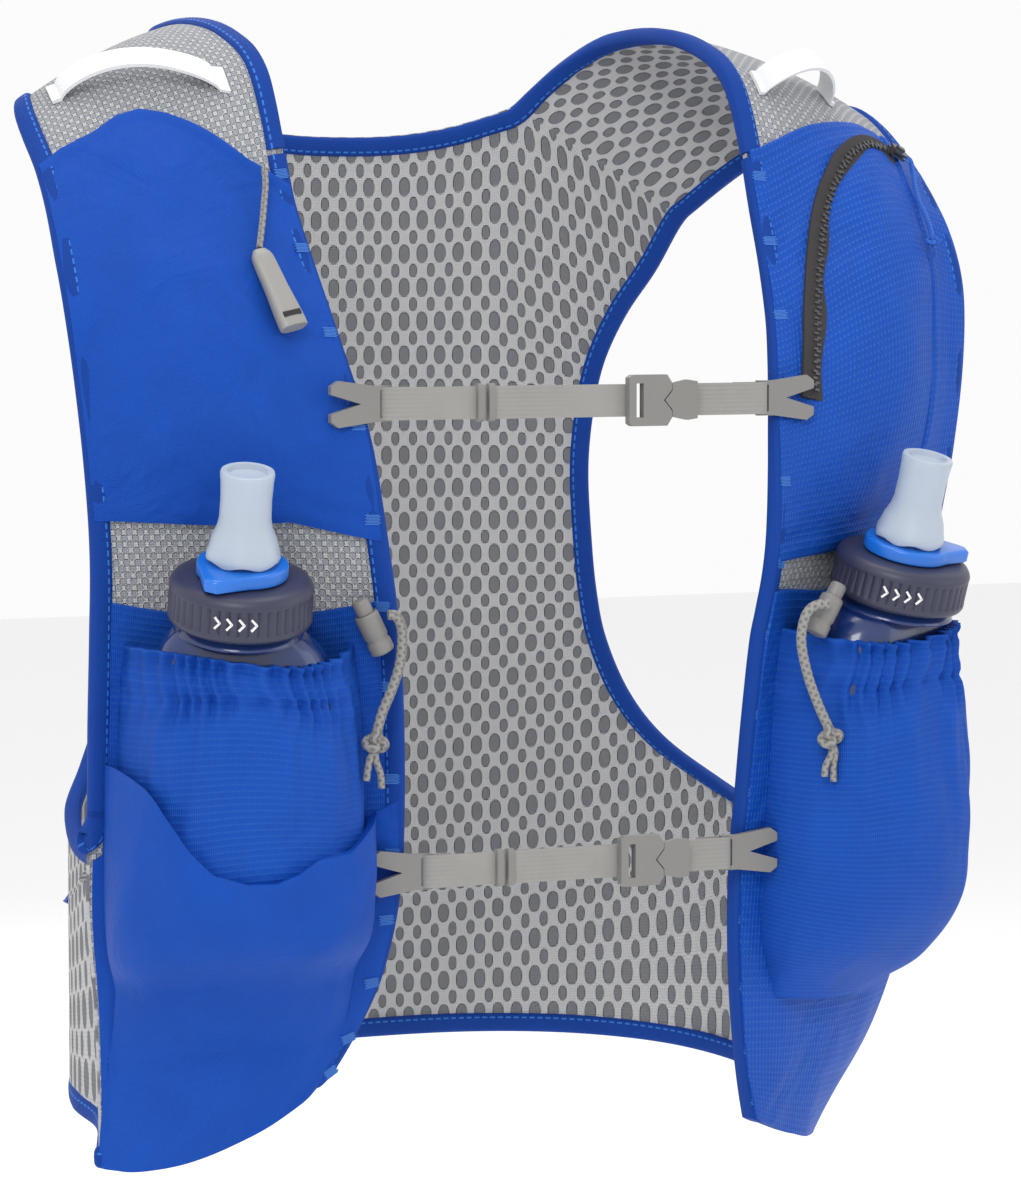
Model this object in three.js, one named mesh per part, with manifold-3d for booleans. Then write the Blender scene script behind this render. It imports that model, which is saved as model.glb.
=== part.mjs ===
// Running hydration vest in its worn form. Millimetres, +Z up, the wearer faces -Y.
// The origin is midway between the shoulders, level with the top of the neck edge.
import * as THREE from 'three';
import { mergeVertices } from 'three/addons/utils/BufferGeometryUtils.js';
import Module from 'manifold-3d';

const wasm = await Module();
wasm.setup();

// Garment
const halfWidth = 190;
const bodyDepth = 216;
const vestHeight = 430;
const panelCrown = 6;
const hemDrop = 10;
const meshWall = 3;
const fabricWall = 1.4;
const bindingWidth = 8;
const bindingLeaf = 1.7;
const pieceGap = 0.35;
const skinSink = 1;

// Soft flasks
const capDiameter = 52;
const capHeight = 17;
const neckRadius = 20;
const flaskWidth = 80;
const flaskDepth = 42;
const flaskLength = 142;
const flaskLean = 17;
const flaskSplay = 4;
const leverDiameter = 33;
const leverHeight = 5;
const leverReach = 24;
const valveSkirt = 27;
const valveNeck = 18.6;
const valveLength = 34;

// Pockets, straps and small hardware
const pocketClearance = 0.6;
const pouchDepth = 15;
const zipTape = 10.5;
const zipHeight = 1.6;
const sliderLength = 9;
const sliderWidth = 5;
const loopWidth = 12;
const webbingWidth = 12;
const webbingWall = 1.3;
const clipSpread = 17;
const clipReach = 15;
const clipPlate = 2.6;
const clipBar = 8;
const clipLift = 3.2;
const buckleLength = 29;
const buckleHeight = 19;
const buckleDepth = 6;
const lockDiameter = 9;
const lockLength = 16;
const buttonDiameter = 6.4;
const buttonLength = 7;
const buttonInset = 1.4;
const buttonTravel = 3.6;
const lockCord = 2.2;
const whistleLength = 33;
const whistleWidth = 9.5;
const whistleDepth = 6.5;
const whistleCord = 2.4;
const pullCord = 2;
const knotLength = 9;
const knotWidth = 8;

const blue = 0x1b4fb0;
const smoothBlue = 0x16439e;
const meshGrey = 0xb9b9b9;
const hardwareGrey = 0xa5a49f;

const vector = (x, y, z) => new THREE.Vector3(x, y, z);
const clamp = (x, low, high) => Math.min(Math.max(x, low), high);
const mix = (a, b, t) => a + (b - a) * t;
const ease = t => t * t * (3 - 2 * t);
const rad = degrees => degrees * Math.PI / 180;
const spread = (count, from = 0, to = 1) =>
  Array.from({ length: count + 1 }, (_, k) => mix(from, to, k / count));

// Section tables hold shares of the named sizes, one row for each section.
const spline = (a, b, c, d, t) =>
  0.5 * (2 * b + (c - a) * t + (2 * a - 5 * b + 4 * c - d) * t ** 2 + (3 * b - a - 3 * c + d) * t ** 3);

function sampleTable(rows, v) {
  const last = rows.length - 1;
  const x = clamp(v, 0, 1) * last;
  const i = Math.min(Math.floor(x), last - 1);
  const row = k => rows[clamp(k, 0, last)];
  return row(0).map((_, c) => spline(row(i - 1)[c], row(i)[c], row(i + 1)[c], row(i + 2)[c], x - i));
}

function sampleLine(rows, x) {
  const i = clamp(rows.findIndex(row => row[0] >= x), 1, rows.length - 1);
  const [x0, y0] = rows[i - 1];
  const [x1, y1] = rows[i];
  return mix(y0, y1, clamp((x - x0) / (x1 - x0), 0, 1));
}

// Strap and front panel of one side, from the yoke seam over the shoulder to the front hem.
// inner x, y, z and outer x, y, z, then crown, drop
const strapRows = [
  [.390, .407, -.065, .720, .250, -.172, .8, 0],
  [.460, .366, -.030, .785, .153, -.133, .8, 0],
  [.500, .270, -.005, .865, .065, -.100, .8, 0],
  [.510, .153, .002, .915, .000, -.081, .8, 0],
  [.510, .023, .000, .953, -.042, -.077, .8, 0],
  [.510, -.100, -.012, .974, -.083, -.086, .8, 0],
  [.510, -.210, -.037, .984, -.143, -.107, .8, 0],
  [.510, -.273, -.084, .990, -.230, -.144, .8, 0],
  [.505, -.333, -.163, 1.00, -.310, -.195, .8, 0],
  [.480, -.430, -.256, .995, -.356, -.260, 1.0, 0],
  [.440, -.510, -.360, .970, -.366, -.360, .7, 0],
  [.420, -.546, -.465, .942, -.347, -.465, -1.0, 0],
  [.390, -.532, -.558, .947, -.352, -.558, -1.5, 0],
  [.374, -.514, -.663, .953, -.352, -.663, -.8, 0],
  [.368, -.490, -.744, .942, -.315, -.756, .3, 0],
];
const frontRows = {
  right: [
    ...strapRows,
    [.390, -.458, -.819, .910, -.278, -.842, .8, .1],
    [.437, -.417, -.879, .890, -.250, -.926, 1.0, .5],
    [.474, -.403, -.905, .880, -.230, -.986, 1.0, 1.0],
  ],
  left: [
    ...strapRows,
    [.384, -.463, -.833, .905, -.260, -.842, .8, 0],
    [.420, -.430, -.919, .868, -.194, -.926, 1.2, 0],
    [.463, -.403, -.977, .800, -.100, -1.014, 1.3, .3],
  ],
};
const sides = { right: -1, left: 1 };

function panelBase(side, u, v) {
  const at = x => {
    const r = sampleTable(frontRows[side], x);
    return {
      inner: vector(r[0] * halfWidth * sides[side], r[1] * bodyDepth, r[2] * vestHeight),
      outer: vector(r[3] * halfWidth * sides[side], r[4] * bodyDepth, r[5] * vestHeight),
      crown: r[6] * panelCrown,
      drop: r[7] * hemDrop,
    };
  };
  const row = at(v);
  const step = 1e-3;
  const w = clamp(v, step, 1 - step);
  const above = at(w - step);
  const below = at(w + step);
  const along = below.inner.clone().add(below.outer).sub(above.inner).sub(above.outer);
  const chord = row.outer.clone().sub(row.inner);
  const away = chord.clone().cross(along).multiplyScalar(-sides[side]).normalize();
  const bow = 4 * u * (1 - u);
  return row.inner.clone().addScaledVector(chord, u).addScaledVector(away, row.crown * bow)
    .add(vector(0, 0, -row.drop * bow));
}

function frameOf(base, u, v, turn) {
  const step = 1e-3;
  const across = base(u + step, v).sub(base(u - step, v));
  const down = base(u, Math.min(v + step, 1)).sub(base(u, Math.max(v - step, 0)));
  const out = across.clone().cross(down).multiplyScalar(turn).normalize();
  return { point: base(u, v), across: across.normalize(), down: down.normalize(), out };
}

const panelFrame = (side, u, v) => frameOf((a, b) => panelBase(side, a, b), u, v, -sides[side]);

function panelPoint(side, u, v, offset = 0) {
  const frame = panelFrame(side, u, v);
  return frame.point.addScaledVector(frame.out, offset);
}

const panelWidth = (side, v) => panelBase(side, 0, v).distanceTo(panelBase(side, 1, v));
const panelPitch = (side, v) => panelBase(side, .5, Math.min(v + .01, 1))
  .distanceTo(panelBase(side, .5, Math.min(v + .01, 1) - .02)) / .02;

// Back panel with its side wings. s runs from the right side to the left, v from top to hem.
// reach along the plan line, edge z, middle z, bow power
const neckShare = .56;
const seamRow = 11 / 14;
const backRows = [
  [.478, -.172, -.095, 1.5],
  [.430, -.226, -.167, 1.6],
  [.372, -.284, -.244, 2.0],
  [.345, -.349, -.337, 2.0],
  [.336, -.419, -.419, 2.0],
  [.345, -.500, -.500, 2.0],
  [.360, -.565, -.581, 2.0],
  [.410, -.633, -.663, 2.0],
  [.500, -.684, -.726, 2.0],
  [.660, -.723, -.779, 2.0],
  [.840, -.728, -.814, 2.0],
  [1.00, -.688, -.842, 2.0],
  [1.00, -.767, -.879, 2.2],
  [1.00, -.879, -.914, 2.4],
  [1.00, -1.00, -.951, 2.2],
];
// plan line of the torso from the middle of the back to the side seam, x and y
const planRows = [
  [0, .454], [.210, .449], [.395, .417], [.547, .361], [.668, .278],
  [.753, .176], [.789, .056], [.816, -.069], [.874, -.204], [.953, -.333],
];

function planPoint(t) {
  const mirrored = [[-planRows[1][0], planRows[1][1]], ...planRows];
  const last = planRows.length;
  const [x, y] = sampleTable(mirrored, (1 + clamp(t, 0, 1) * (last - 1)) / last);
  return { x: x * halfWidth, y: y * bodyDepth };
}

function outerEdgeAt(side, z) {
  let low = .45;
  let high = 1;
  for (let k = 0; k < 24; k += 1) {
    const middle = (low + high) / 2;
    if (panelBase(side, 1, middle).z > z) low = middle;
    else high = middle;
  }
  return panelBase(side, 1, high);
}

function regularBack(s, v) {
  const side = s < 0 ? 'right' : 'left';
  const a = Math.abs(s);
  const [reach, edge, middle, power] = sampleTable(backRows, v);
  const t = a * Math.min(reach, 1);
  let z = mix(middle, edge, a ** power) * vestHeight;
  const hem = panelBase(side, 1, 1).z - backRows.at(-1)[1] * vestHeight;
  z += hem * a ** 2 * ease(clamp((v - .8) / .2, 0, 1));
  const plan = planPoint(t);
  const swing = ease(clamp((t - .62) / .38, 0, 1));
  const end = planPoint(1);
  const target = swing > 0 ? outerEdgeAt(side, z) : vector(0, 0, 0);
  const x = plan.x + (swing > 0 ? swing * (Math.abs(target.x) - end.x) : 0);
  const y = plan.y + (swing > 0 ? swing * (target.y - end.y) : 0);
  return vector(x * Math.sign(s || 1), y, z);
}

function topCurve(s) {
  const side = s < 0 ? 'right' : 'left';
  const a = Math.abs(s);
  if (a >= neckShare) return panelBase(side, (a - neckShare) / (1 - neckShare), 0);
  const corner = panelBase(side, 0, 0);
  const middle = regularBack(0, 0);
  const q = a / neckShare;
  return vector(corner.x * q, mix(middle.y, corner.y, q ** 2), mix(middle.z, corner.z, q ** 2.4));
}

function backBase(s, v) {
  const point = regularBack(s, v);
  const fade = clamp(1 - v / .28, 0, 1) ** 2;
  if (fade > 0) point.add(topCurve(s).sub(regularBack(s, 0)).multiplyScalar(fade));
  return point;
}

const backFrame = (s, v) => frameOf(backBase, s, v, 1);

function backPoint(s, v, offset = 0) {
  const frame = backFrame(s, v);
  return frame.point.addScaledVector(frame.out, offset);
}

// Closed bodies
const weldReach = 1e-3;
const shapeSlack = 0.09;

function closeBody(vertices, faces) {
  let geometry = new THREE.BufferGeometry();
  geometry.setAttribute('position', new THREE.Float32BufferAttribute(vertices.flatMap(p => [p.x, p.y, p.z]), 3));
  geometry.setIndex(faces.flat());
  return weld(geometry);
}

function weld(source) {
  const bare = source.clone();
  bare.deleteAttribute('normal');
  bare.deleteAttribute('uv');
  const merged = mergeVertices(bare, weldReach);
  const index = Array.from(merged.index.array);
  const position = merged.attributes.position;
  const at = k => vector().fromBufferAttribute(position, k);
  const kept = [];
  let volume = 0;
  for (let k = 0; k < index.length; k += 3) {
    const [a, b, c] = index.slice(k, k + 3);
    if (a === b || b === c || a === c) continue;
    kept.push(a, b, c);
    volume += at(a).dot(at(b).cross(at(c)));
  }
  if (volume < 0) {
    for (let k = 0; k < kept.length; k += 3) [kept[k], kept[k + 1]] = [kept[k + 1], kept[k]];
  }
  merged.setIndex(kept);
  return merged;
}

// A wall between two grids of points, closed all round its rim.
function wallBody(outer, inner) {
  const rows = outer.length;
  const columns = outer[0].length;
  const vertices = [...outer.flat(), ...inner.flat()];
  const faces = [];
  const at = (i, j, layer) => layer * rows * columns + i * columns + j;
  const quad = (a, b, c, d) => faces.push([a, b, c], [a, c, d]);
  for (let i = 0; i + 1 < rows; i += 1) {
    for (let j = 0; j + 1 < columns; j += 1) {
      quad(at(i, j, 0), at(i, j + 1, 0), at(i + 1, j + 1, 0), at(i + 1, j, 0));
      quad(at(i, j, 1), at(i + 1, j, 1), at(i + 1, j + 1, 1), at(i, j + 1, 1));
    }
  }
  for (let i = 0; i + 1 < rows; i += 1) {
    quad(at(i, 0, 0), at(i + 1, 0, 0), at(i + 1, 0, 1), at(i, 0, 1));
    quad(at(i + 1, columns - 1, 0), at(i, columns - 1, 0), at(i, columns - 1, 1), at(i + 1, columns - 1, 1));
  }
  for (let j = 0; j + 1 < columns; j += 1) {
    quad(at(0, j + 1, 0), at(0, j, 0), at(0, j, 1), at(0, j + 1, 1));
    quad(at(rows - 1, j, 0), at(rows - 1, j + 1, 0), at(rows - 1, j + 1, 1), at(rows - 1, j, 1));
  }
  return closeBody(vertices, faces);
}

// A body through rings of points, capped at both ends or closed on itself.
function loftBody(rings, closed = false) {
  const sidesOfRing = rings[0].length;
  const faces = [];
  const count = rings.length;
  for (let i = 0; i < (closed ? count : count - 1); i += 1) {
    const a = i * sidesOfRing;
    const b = ((i + 1) % count) * sidesOfRing;
    for (let k = 0; k < sidesOfRing; k += 1) {
      const n = (k + 1) % sidesOfRing;
      faces.push([a + k, a + n, b + n], [a + k, b + n, b + k]);
    }
  }
  const vertices = rings.flat();
  if (!closed) {
    [0, count - 1].forEach((ring, end) => {
      const first = ring * sidesOfRing;
      const middle = vertices.length;
      vertices.push(rings[ring].reduce((sum, p) => sum.add(p), vector(0, 0, 0)).divideScalar(sidesOfRing));
      for (let k = 0; k < sidesOfRing; k += 1) {
        const n = (k + 1) % sidesOfRing;
        faces.push(end ? [first + k, first + n, middle] : [first + n, first + k, middle]);
      }
    });
  }
  return closeBody(vertices, faces);
}

function solid(geometry) {
  const bare = weld(geometry);
  return new wasm.Manifold(new wasm.Mesh({
    numProp: 3,
    vertProperties: new Float32Array(bare.attributes.position.array),
    triVerts: new Uint32Array(bare.index.array),
  }));
}

function geometryOf(body) {
  const mesh = body.getMesh();
  const geometry = new THREE.BufferGeometry();
  geometry.setAttribute('position', new THREE.BufferAttribute(new Float32Array(mesh.vertProperties), 3));
  geometry.setIndex(new THREE.BufferAttribute(new Uint32Array(mesh.triVerts), 1));
  return geometry;
}

const largest = body => body.decompose().sort((a, b) => b.volume() - a.volume())[0];

function cutAway(geometry, tools) {
  const cut = largest(tools.reduce((body, tool) => body.subtract(tool), solid(geometry))).simplify(shapeSlack);
  return geometryOf(largest(solid(geometryOf(cut))));
}

const group = new THREE.Group();

function add(name, geometry, colour, roughness = .8, metalness = 0) {
  const mesh = new THREE.Mesh(geometry, new THREE.MeshStandardMaterial({ color: colour, roughness, metalness }));
  mesh.name = name;
  group.add(mesh);
  return mesh;
}

// Edge tape: a strip that follows a line of frames and wraps the panel's edge.
function stripRings(stations, before, width, above, below) {
  return stations.map(({ point, inward, out }) => [
    point.clone().addScaledVector(inward, -before).addScaledVector(out, above),
    point.clone().addScaledVector(inward, width).addScaledVector(out, above),
    point.clone().addScaledVector(inward, width).addScaledVector(out, -below),
    point.clone().addScaledVector(inward, -before).addScaledVector(out, -below),
  ]);
}

function tapeBody(stations, closed) {
  return loftBody(stripRings(stations, 0, bindingWidth, bindingLeaf, meshWall + bindingLeaf), closed);
}

// Room kept free for the tape: outside the edge, then past the tape's inner line and above it
const panelRoom = { before: 1, past: pieceGap, proud: bindingLeaf + pieceGap };
const skinRoom = { before: 3, past: 1, proud: bindingLeaf + 3 };

function tapeClearance(stations, closed, room) {
  const rings = closed ? stations : [
    extendStation(stations[0], stations[1]), ...stations, extendStation(stations.at(-1), stations.at(-2)),
  ];
  const { before, past, proud } = room;
  return solid(loftBody(stripRings(rings, before, bindingWidth + past, proud, meshWall + proud), closed));
}

function extendStation(end, next) {
  const away = end.point.clone().sub(next.point).setLength(bindingWidth / 2);
  return { ...end, point: end.point.clone().add(away) };
}

const innerStation = (side, v) => {
  const frame = panelFrame(side, 0, v);
  return { point: frame.point, inward: frame.across, out: frame.out };
};
const outerStation = (side, v) => {
  const frame = panelFrame(side, 1, v);
  return { point: frame.point, inward: frame.across.negate(), out: frame.out };
};
const backTopStation = s => {
  const frame = backFrame(s, 0);
  return { point: frame.point, inward: frame.down, out: frame.out };
};
const backSideStation = (side, v) => {
  const frame = backFrame(sides[side], v);
  return { point: frame.point, inward: frame.across.multiplyScalar(-sides[side]), out: frame.out };
};
const backHemStation = s => {
  const frame = backFrame(s, 1);
  return { point: frame.point, inward: frame.down.negate(), out: frame.out };
};
const frontHemStation = (side, u) => {
  const frame = panelFrame(side, u, 1);
  return { point: frame.point, inward: frame.down.negate(), out: frame.out };
};

function blendStations(a, b, t = .5) {
  return {
    point: a.point.clone().lerp(b.point, t),
    inward: a.inward.clone().lerp(b.inward, t).normalize(),
    out: a.out.clone().lerp(b.out, t).normalize(),
  };
}

const railStart = .44;
const armholeFoot = .775;
const seamShift = .02;
const cornerShares = [.022, .014];
const neckHalf = side => spread(12, railStart - .004, .03).map(v => innerStation(side, v));
const neckBack = spread(8, .50, -.50).map(s => backTopStation(s));
const neckStations = [
  ...neckHalf('left'),
  blendStations(innerStation('left', .005), backTopStation(.545)),
  ...neckBack,
  blendStations(innerStation('right', .005), backTopStation(-.545)),
  ...neckHalf('right').reverse(),
];

const railStations = {};
const armholeStations = {};
for (const side of Object.keys(sides)) {
  railStations[side] = [...spread(3, railStart, .53), ...spread(8, .55, .70), ...spread(7, .74, 1)]
    .map(v => innerStation(side, v));
  const foot = outerStation(side, armholeFoot);
  const wing = backSideStation(side, seamRow - .045);
  const corner = blendStations(foot, wing);
  const seam = panelBase(side, 1, armholeFoot + bindingWidth / panelPitch(side, .8) * .7);
  corner.point = panelBase(side, 1, armholeFoot + .006);
  corner.inward = seam.sub(corner.point).normalize();
  armholeStations[side] = [
    ...spread(18, armholeFoot - .006, .02).map(v => outerStation(side, v)),
    ...spread(14, .012, seamRow - .03).map(v => backSideStation(side, v)),
    ...cornerShares.map(q => backSideStation(side, seamRow - q)),
    corner,
  ];
}

const hemStart = side => (bindingWidth + pieceGap) / panelWidth(side, 1);
const hemStations = [
  ...spread(5, hemStart('right'), .96).map(u => frontHemStation('right', u)),
  blendStations(frontHemStation('right', 1), backHemStation(-1)),
  ...spread(12, -.96, .96).map(s => backHemStation(s)),
  blendStations(frontHemStation('left', 1), backHemStation(1)),
  ...spread(5, .96, hemStart('left')).map(u => frontHemStation('left', u)),
];

const tapes = {
  neck: { stations: neckStations, closed: false },
  hem: { stations: hemStations, closed: false },
};
for (const side of Object.keys(sides)) {
  tapes[`rail_${side}`] = { stations: railStations[side], closed: false };
  tapes[`armhole_${side}`] = { stations: armholeStations[side], closed: true };
}
const roomFor = room => Object.fromEntries(
  Object.entries(tapes).map(([name, { stations, closed }]) => [name, tapeClearance(stations, closed, room)]),
);
const clearances = roomFor(panelRoom);
const skinClearances = roomFor(skinRoom);
const toolsOf = (rooms, side) => [rooms.neck, rooms.hem, rooms[`rail_${side}`], rooms[`armhole_${side}`]];
const panelTools = side => toolsOf(clearances, side);
const skinTools = side => [...toolsOf(skinClearances, side), ...clipRoom[side]];

// Spacer mesh panels
const panelColumns = spread(5);
const panelRows = [...spread(9, 0, .46), ...spread(9, .52, 1)];
const backColumns = [...spread(4, -1, -neckShare), ...spread(6, -neckShare, neckShare).slice(1, -1), ...spread(4, neckShare, 1)];
const backLevels = spread(13);

const grid = (rows, columns, point) => rows.map(v => columns.map(u => point(u, v)));

function panelWall(side, above, below, extra = 0) {
  const width = 1 + extra;
  const columns = panelColumns.map(u => (u - .5) * width + .5);
  const rows = [-extra * .5, ...panelRows.slice(1)];
  const place = offset => (u, v) => {
    const frame = panelFrame(side, clamp(u, 0, 1), Math.max(v, 0));
    const over = (u - clamp(u, 0, 1)) * panelWidth(side, Math.max(v, 0));
    const up = Math.min(v, 0) * panelPitch(side, .02);
    return frame.point.addScaledVector(frame.across, over * 1).addScaledVector(frame.down, up)
      .addScaledVector(frame.out, offset);
  };
  return wallBody(grid(rows, columns, place(above)), grid(rows, columns, place(-below)));
}

const meshClearance = {};
for (const side of Object.keys(sides)) {
  meshClearance[side] = solid(panelWall(side, pieceGap, meshWall + pieceGap, .008));
  const cut = cutAway(panelWall(side, 0, meshWall), panelTools(side));
  add(`panel_mesh_${side}`, cut, meshGrey, .95);
}
const backShell = (above, below) => wallBody(
  grid(backLevels, backColumns, (s, v) => backPoint(s, v, above)),
  grid(backLevels, backColumns, (s, v) => backPoint(s, v, -below)),
);
const backClearance = solid(backShell(pieceGap, meshWall + pieceGap));
const footRoom = side => {
  const corner = panelBase(side, 1, armholeFoot);
  return solid(new THREE.BoxGeometry(bindingWidth * .8, bindingWidth * 1.8, bindingWidth * 2)
    .translate(corner.x, corner.y, corner.z - bindingWidth * .7));
};
add('back_mesh', cutAway(backShell(0, meshWall), [
  footRoom('right'), footRoom('left'),
  meshClearance.right, meshClearance.left, clearances.neck, clearances.hem,
  clearances.armhole_right, clearances.armhole_left,
]), meshGrey, .95);

add('neck_binding', tapeBody(neckStations, false), smoothBlue);
add('hem_binding', tapeBody(hemStations, false), smoothBlue);
for (const side of Object.keys(sides)) {
  add(`edge_rail_${side}`, tapeBody(railStations[side], false), smoothBlue);
  add(`armhole_binding_${side}`, tapeBody(armholeStations[side], true), smoothBlue);
}

// Clips of the sternum straps
const railMiddle = (side, z) => {
  let low = railStart;
  let high = 1;
  for (let k = 0; k < 24; k += 1) {
    const middle = (low + high) / 2;
    if (panelBase(side, 0, middle).z > z) low = middle;
    else high = middle;
  }
  return innerStation(side, high);
};

function placed(geometry, origin, x, y, z) {
  geometry.applyMatrix4(new THREE.Matrix4().makeBasis(x, y, z));
  geometry.translate(origin.x, origin.y, origin.z);
  return geometry;
}

function plate(points, depth, hole) {
  const shape = new THREE.Shape(points.map(([x, y]) => new THREE.Vector2(x, y)));
  if (hole) shape.holes.push(new THREE.Path(hole.map(([x, y]) => new THREE.Vector2(x, y))));
  return new THREE.ExtrudeGeometry(shape, { depth, bevelEnabled: false });
}

const strapLevel = { upper: -.330, lower: -.728 };

// V-shaped clip that rides on the rail. x points from the rail to the strap, y up, z outward.
function clipBody(side, z) {
  const rail = railMiddle(side, z);
  const x = vector(-sides[side], 0, 0);
  const y = vector(0, 0, 1);
  const outward = x.clone().cross(y);
  const half = clipSpread / 2;
  const front = plate([
    [-clipReach + 3, half], [-clipReach, half - 2], [-clipReach, half - 5], [-3, 0],
    [-clipReach, 5 - half], [-clipReach, 2 - half], [-clipReach + 3, -half], [2, -6.6], [9, -6.6], [9, 6.6], [2, 6.6],
  ], clipPlate, [[4.6, 5], [7, 5], [7, -5], [4.6, -5]]);
  const forward = outward.y < 0 ? 1 : -1;
  front.translate(0, 0, forward > 0 ? clipLift : -clipLift - clipPlate);
  const web = new THREE.BoxGeometry(1.7, 9, clipLift + meshWall);
  web.translate(3.2, 0, forward * (clipLift + clipPlate / 2 - (clipLift + meshWall) / 2));
  const body = placed(geometryOf(solid(front).add(solid(web))), rail.point, x, y, outward);
  return cutAway(body, [clearances[`rail_${side}`]]);
}

// The space a clip takes up above the panel
function clipSpace(side, z) {
  const rail = railMiddle(side, z);
  const room = new THREE.BoxGeometry(clipReach + clipBar + 2, clipSpread + 1.4, clipLift + clipPlate + 6);
  return solid(placed(room, rail.point.clone().add(vector(sides[side] * (clipReach / 2 - 3), -clipLift / 2 - 3, 0)),
    vector(1, 0, 0), vector(0, 0, 1), vector(0, -1, 0)));
}

function strapEnds(level) {
  const z = strapLevel[level] * vestHeight;
  return Object.fromEntries(Object.keys(sides).map(side => {
    const rail = railMiddle(side, z);
    return [side, rail.point.clone().add(vector(-sides[side] * clipBar, -clipLift - clipPlate / 2, 0))];
  }));
}

const clipRoom = Object.fromEntries(Object.keys(sides).map(side =>
  [side, Object.values(strapLevel).map(level => clipSpace(side, level * vestHeight))]));

// A cloth skin on the front panel, between a top and a bottom line, raised by a puff at its middle.
const edgeShare = .10;
function puffShare(u, b) {
  const q = clamp((u - edgeShare) / (1 - 2 * edgeShare), 0, 1);
  return Math.sin(Math.PI * q) ** 1.4 * Math.sin(Math.PI * clamp(b, 0, 1)) ** .8;
}

function skinWall(side, top, bottom, puff, rows, columns) {
  const us = [.01, ...spread(columns, edgeShare, 1 - edgeShare), .99];
  const steps = spread(rows);
  const raise = (u, b) => pieceGap + fabricWall + puff * Math.max(puffShare(u, b), 0);
  const place = lift => steps.map(b => us.map(u => {
    const v = mix(top(u), bottom(u), b);
    return panelPoint(side, u, v, lift(u, b));
  }));
  return wallBody(place(raise), place((u, b) => Math.max(-skinSink, raise(u, b) - fabricWall - pieceGap - skinSink)));
}

// u and v of each pocket's edge
const chestTopRight = [
  [0, .462], [.18, .440], [.36, .408], [.46, .391], [.55, .379], [.64, .378], [.74, .386], [.88, .390], [1, .400],
];
const chestHemRight = [[0, .636], [.11, .633], [.32, .626], [.60, .627], [.92, .625], [1, .625]];
const chestTopLeft = [
  [0, .436], [.07, .432], [.18, .421], [.33, .404], [.52, .386], [.64, .376], [.80, .372], [1, .378],
];
const chestHemLeft = [[0, .652], [.3, .650], [.7, .645], [1, .640]];
const lowerTopRight = [
  [0, .765], [.09, .773], [.20, .787], [.31, .791], [.38, .799], [.45, .803],
  [.54, .802], [.65, .795], [.74, .782], [.89, .755], [1, .740],
];
const lowerTopLeft = [[0, .668], [.12, .668], [.40, .672], [.70, .668], [1, .660]];

const chestPuff = 3;
add('chest_pocket_right', cutAway(
  skinWall('right', u => sampleLine(chestTopRight, u), u => sampleLine(chestHemRight, u), chestPuff, 6, 6),
  [meshClearance.right, ...skinTools('right')],
), smoothBlue);

// Zipper path on the left chest, u and v
const zipRoute = [
  [.765, .404], [.605, .411], [.456, .430], [.360, .452], [.299, .471],
  [.234, .501], [.191, .528], [.174, .552], [.162, .574],
];
const zipPuff = 9;
const zipPath = new THREE.CatmullRomCurve3(zipRoute.map(([u, v]) => {
  const b = (v - sampleLine(chestTopLeft, u)) / (sampleLine(chestHemLeft, u) - sampleLine(chestTopLeft, u));
  return panelPoint('left', u, v, pieceGap + fabricWall + zipPuff * Math.max(puffShare(u, b), 0));
}));

function zipStations(count) {
  return spread(count).map(t => {
    const point = zipPath.getPointAt(t);
    const [u, v] = routeShare(t);
    const out = panelFrame('left', u, v).out;
    const along = zipPath.getTangentAt(t);
    return { point, inward: along.clone().cross(out).normalize(), out };
  });
}

function routeShare(t) {
  const x = t * (zipRoute.length - 1);
  const i = Math.min(Math.floor(x), zipRoute.length - 2);
  return [0, 1].map(c => mix(zipRoute[i][c], zipRoute[i + 1][c], x - i));
}

const zipLine = zipStations(14);
const zipBody = grow => loftBody(
  zipLine.map(({ point, inward, out }) => [[-1, 1], [1, 1], [1, -1], [-1, -1]].map(([across, up]) =>
    point.clone().addScaledVector(inward, across * (zipTape / 2 + grow))
      .addScaledVector(out, up > 0 ? zipHeight * .5 + grow * 8 : -fabricWall - grow * 8))),
);
add('chest_zipper', cutAway(zipBody(0), [meshClearance.left, ...clipRoom.left]), 0x4b4848, .7);
add('zip_panel_left', cutAway(
  skinWall('left', u => sampleLine(chestTopLeft, u), u => sampleLine(chestHemLeft, u), zipPuff, 7, 7),
  [meshClearance.left, solid(zipBody(pieceGap)), ...skinTools('left')],
), blue);

// Zipper slider with its pull cord
const zipHead = zipLine[0];
function slab(frame, length, width, height, lift) {
  const along = frame.inward.clone().cross(frame.out).normalize();
  const middle = frame.point.clone().addScaledVector(frame.out, lift + height / 2);
  const box = new THREE.BoxGeometry(length, width, height);
  box.applyMatrix4(new THREE.Matrix4().makeBasis(along, frame.inward.clone().negate(), frame.out));
  box.translate(middle.x, middle.y, middle.z);
  return box;
}
const sliderLift = zipHeight * .5 + pieceGap * 2.2;
const sliderFrame = {
  ...zipHead, point: zipHead.point.clone().addScaledVector(zipPath.getTangentAt(0), -sliderLength * .2),
};
add('zipper_slider', weld(slab(sliderFrame, sliderLength, sliderWidth, 2.6, sliderLift)), 0x3a3a3c, .5);

// Flasks
const flaskSeat = {
  right: { u: .52, v: .668 },
  left: { u: .50, v: .668 },
};
const flaskColumns = 12;

function flaskAxis(side) {
  return vector(Math.sin(rad(flaskSplay)) * sides[side], -Math.sin(rad(flaskLean)), Math.cos(rad(flaskLean))).normalize();
}

function flaskOrigin(side) {
  const { u, v } = flaskSeat[side];
  return panelPoint(side, u, v, capDiameter / 2 + 1.5);
}

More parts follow.
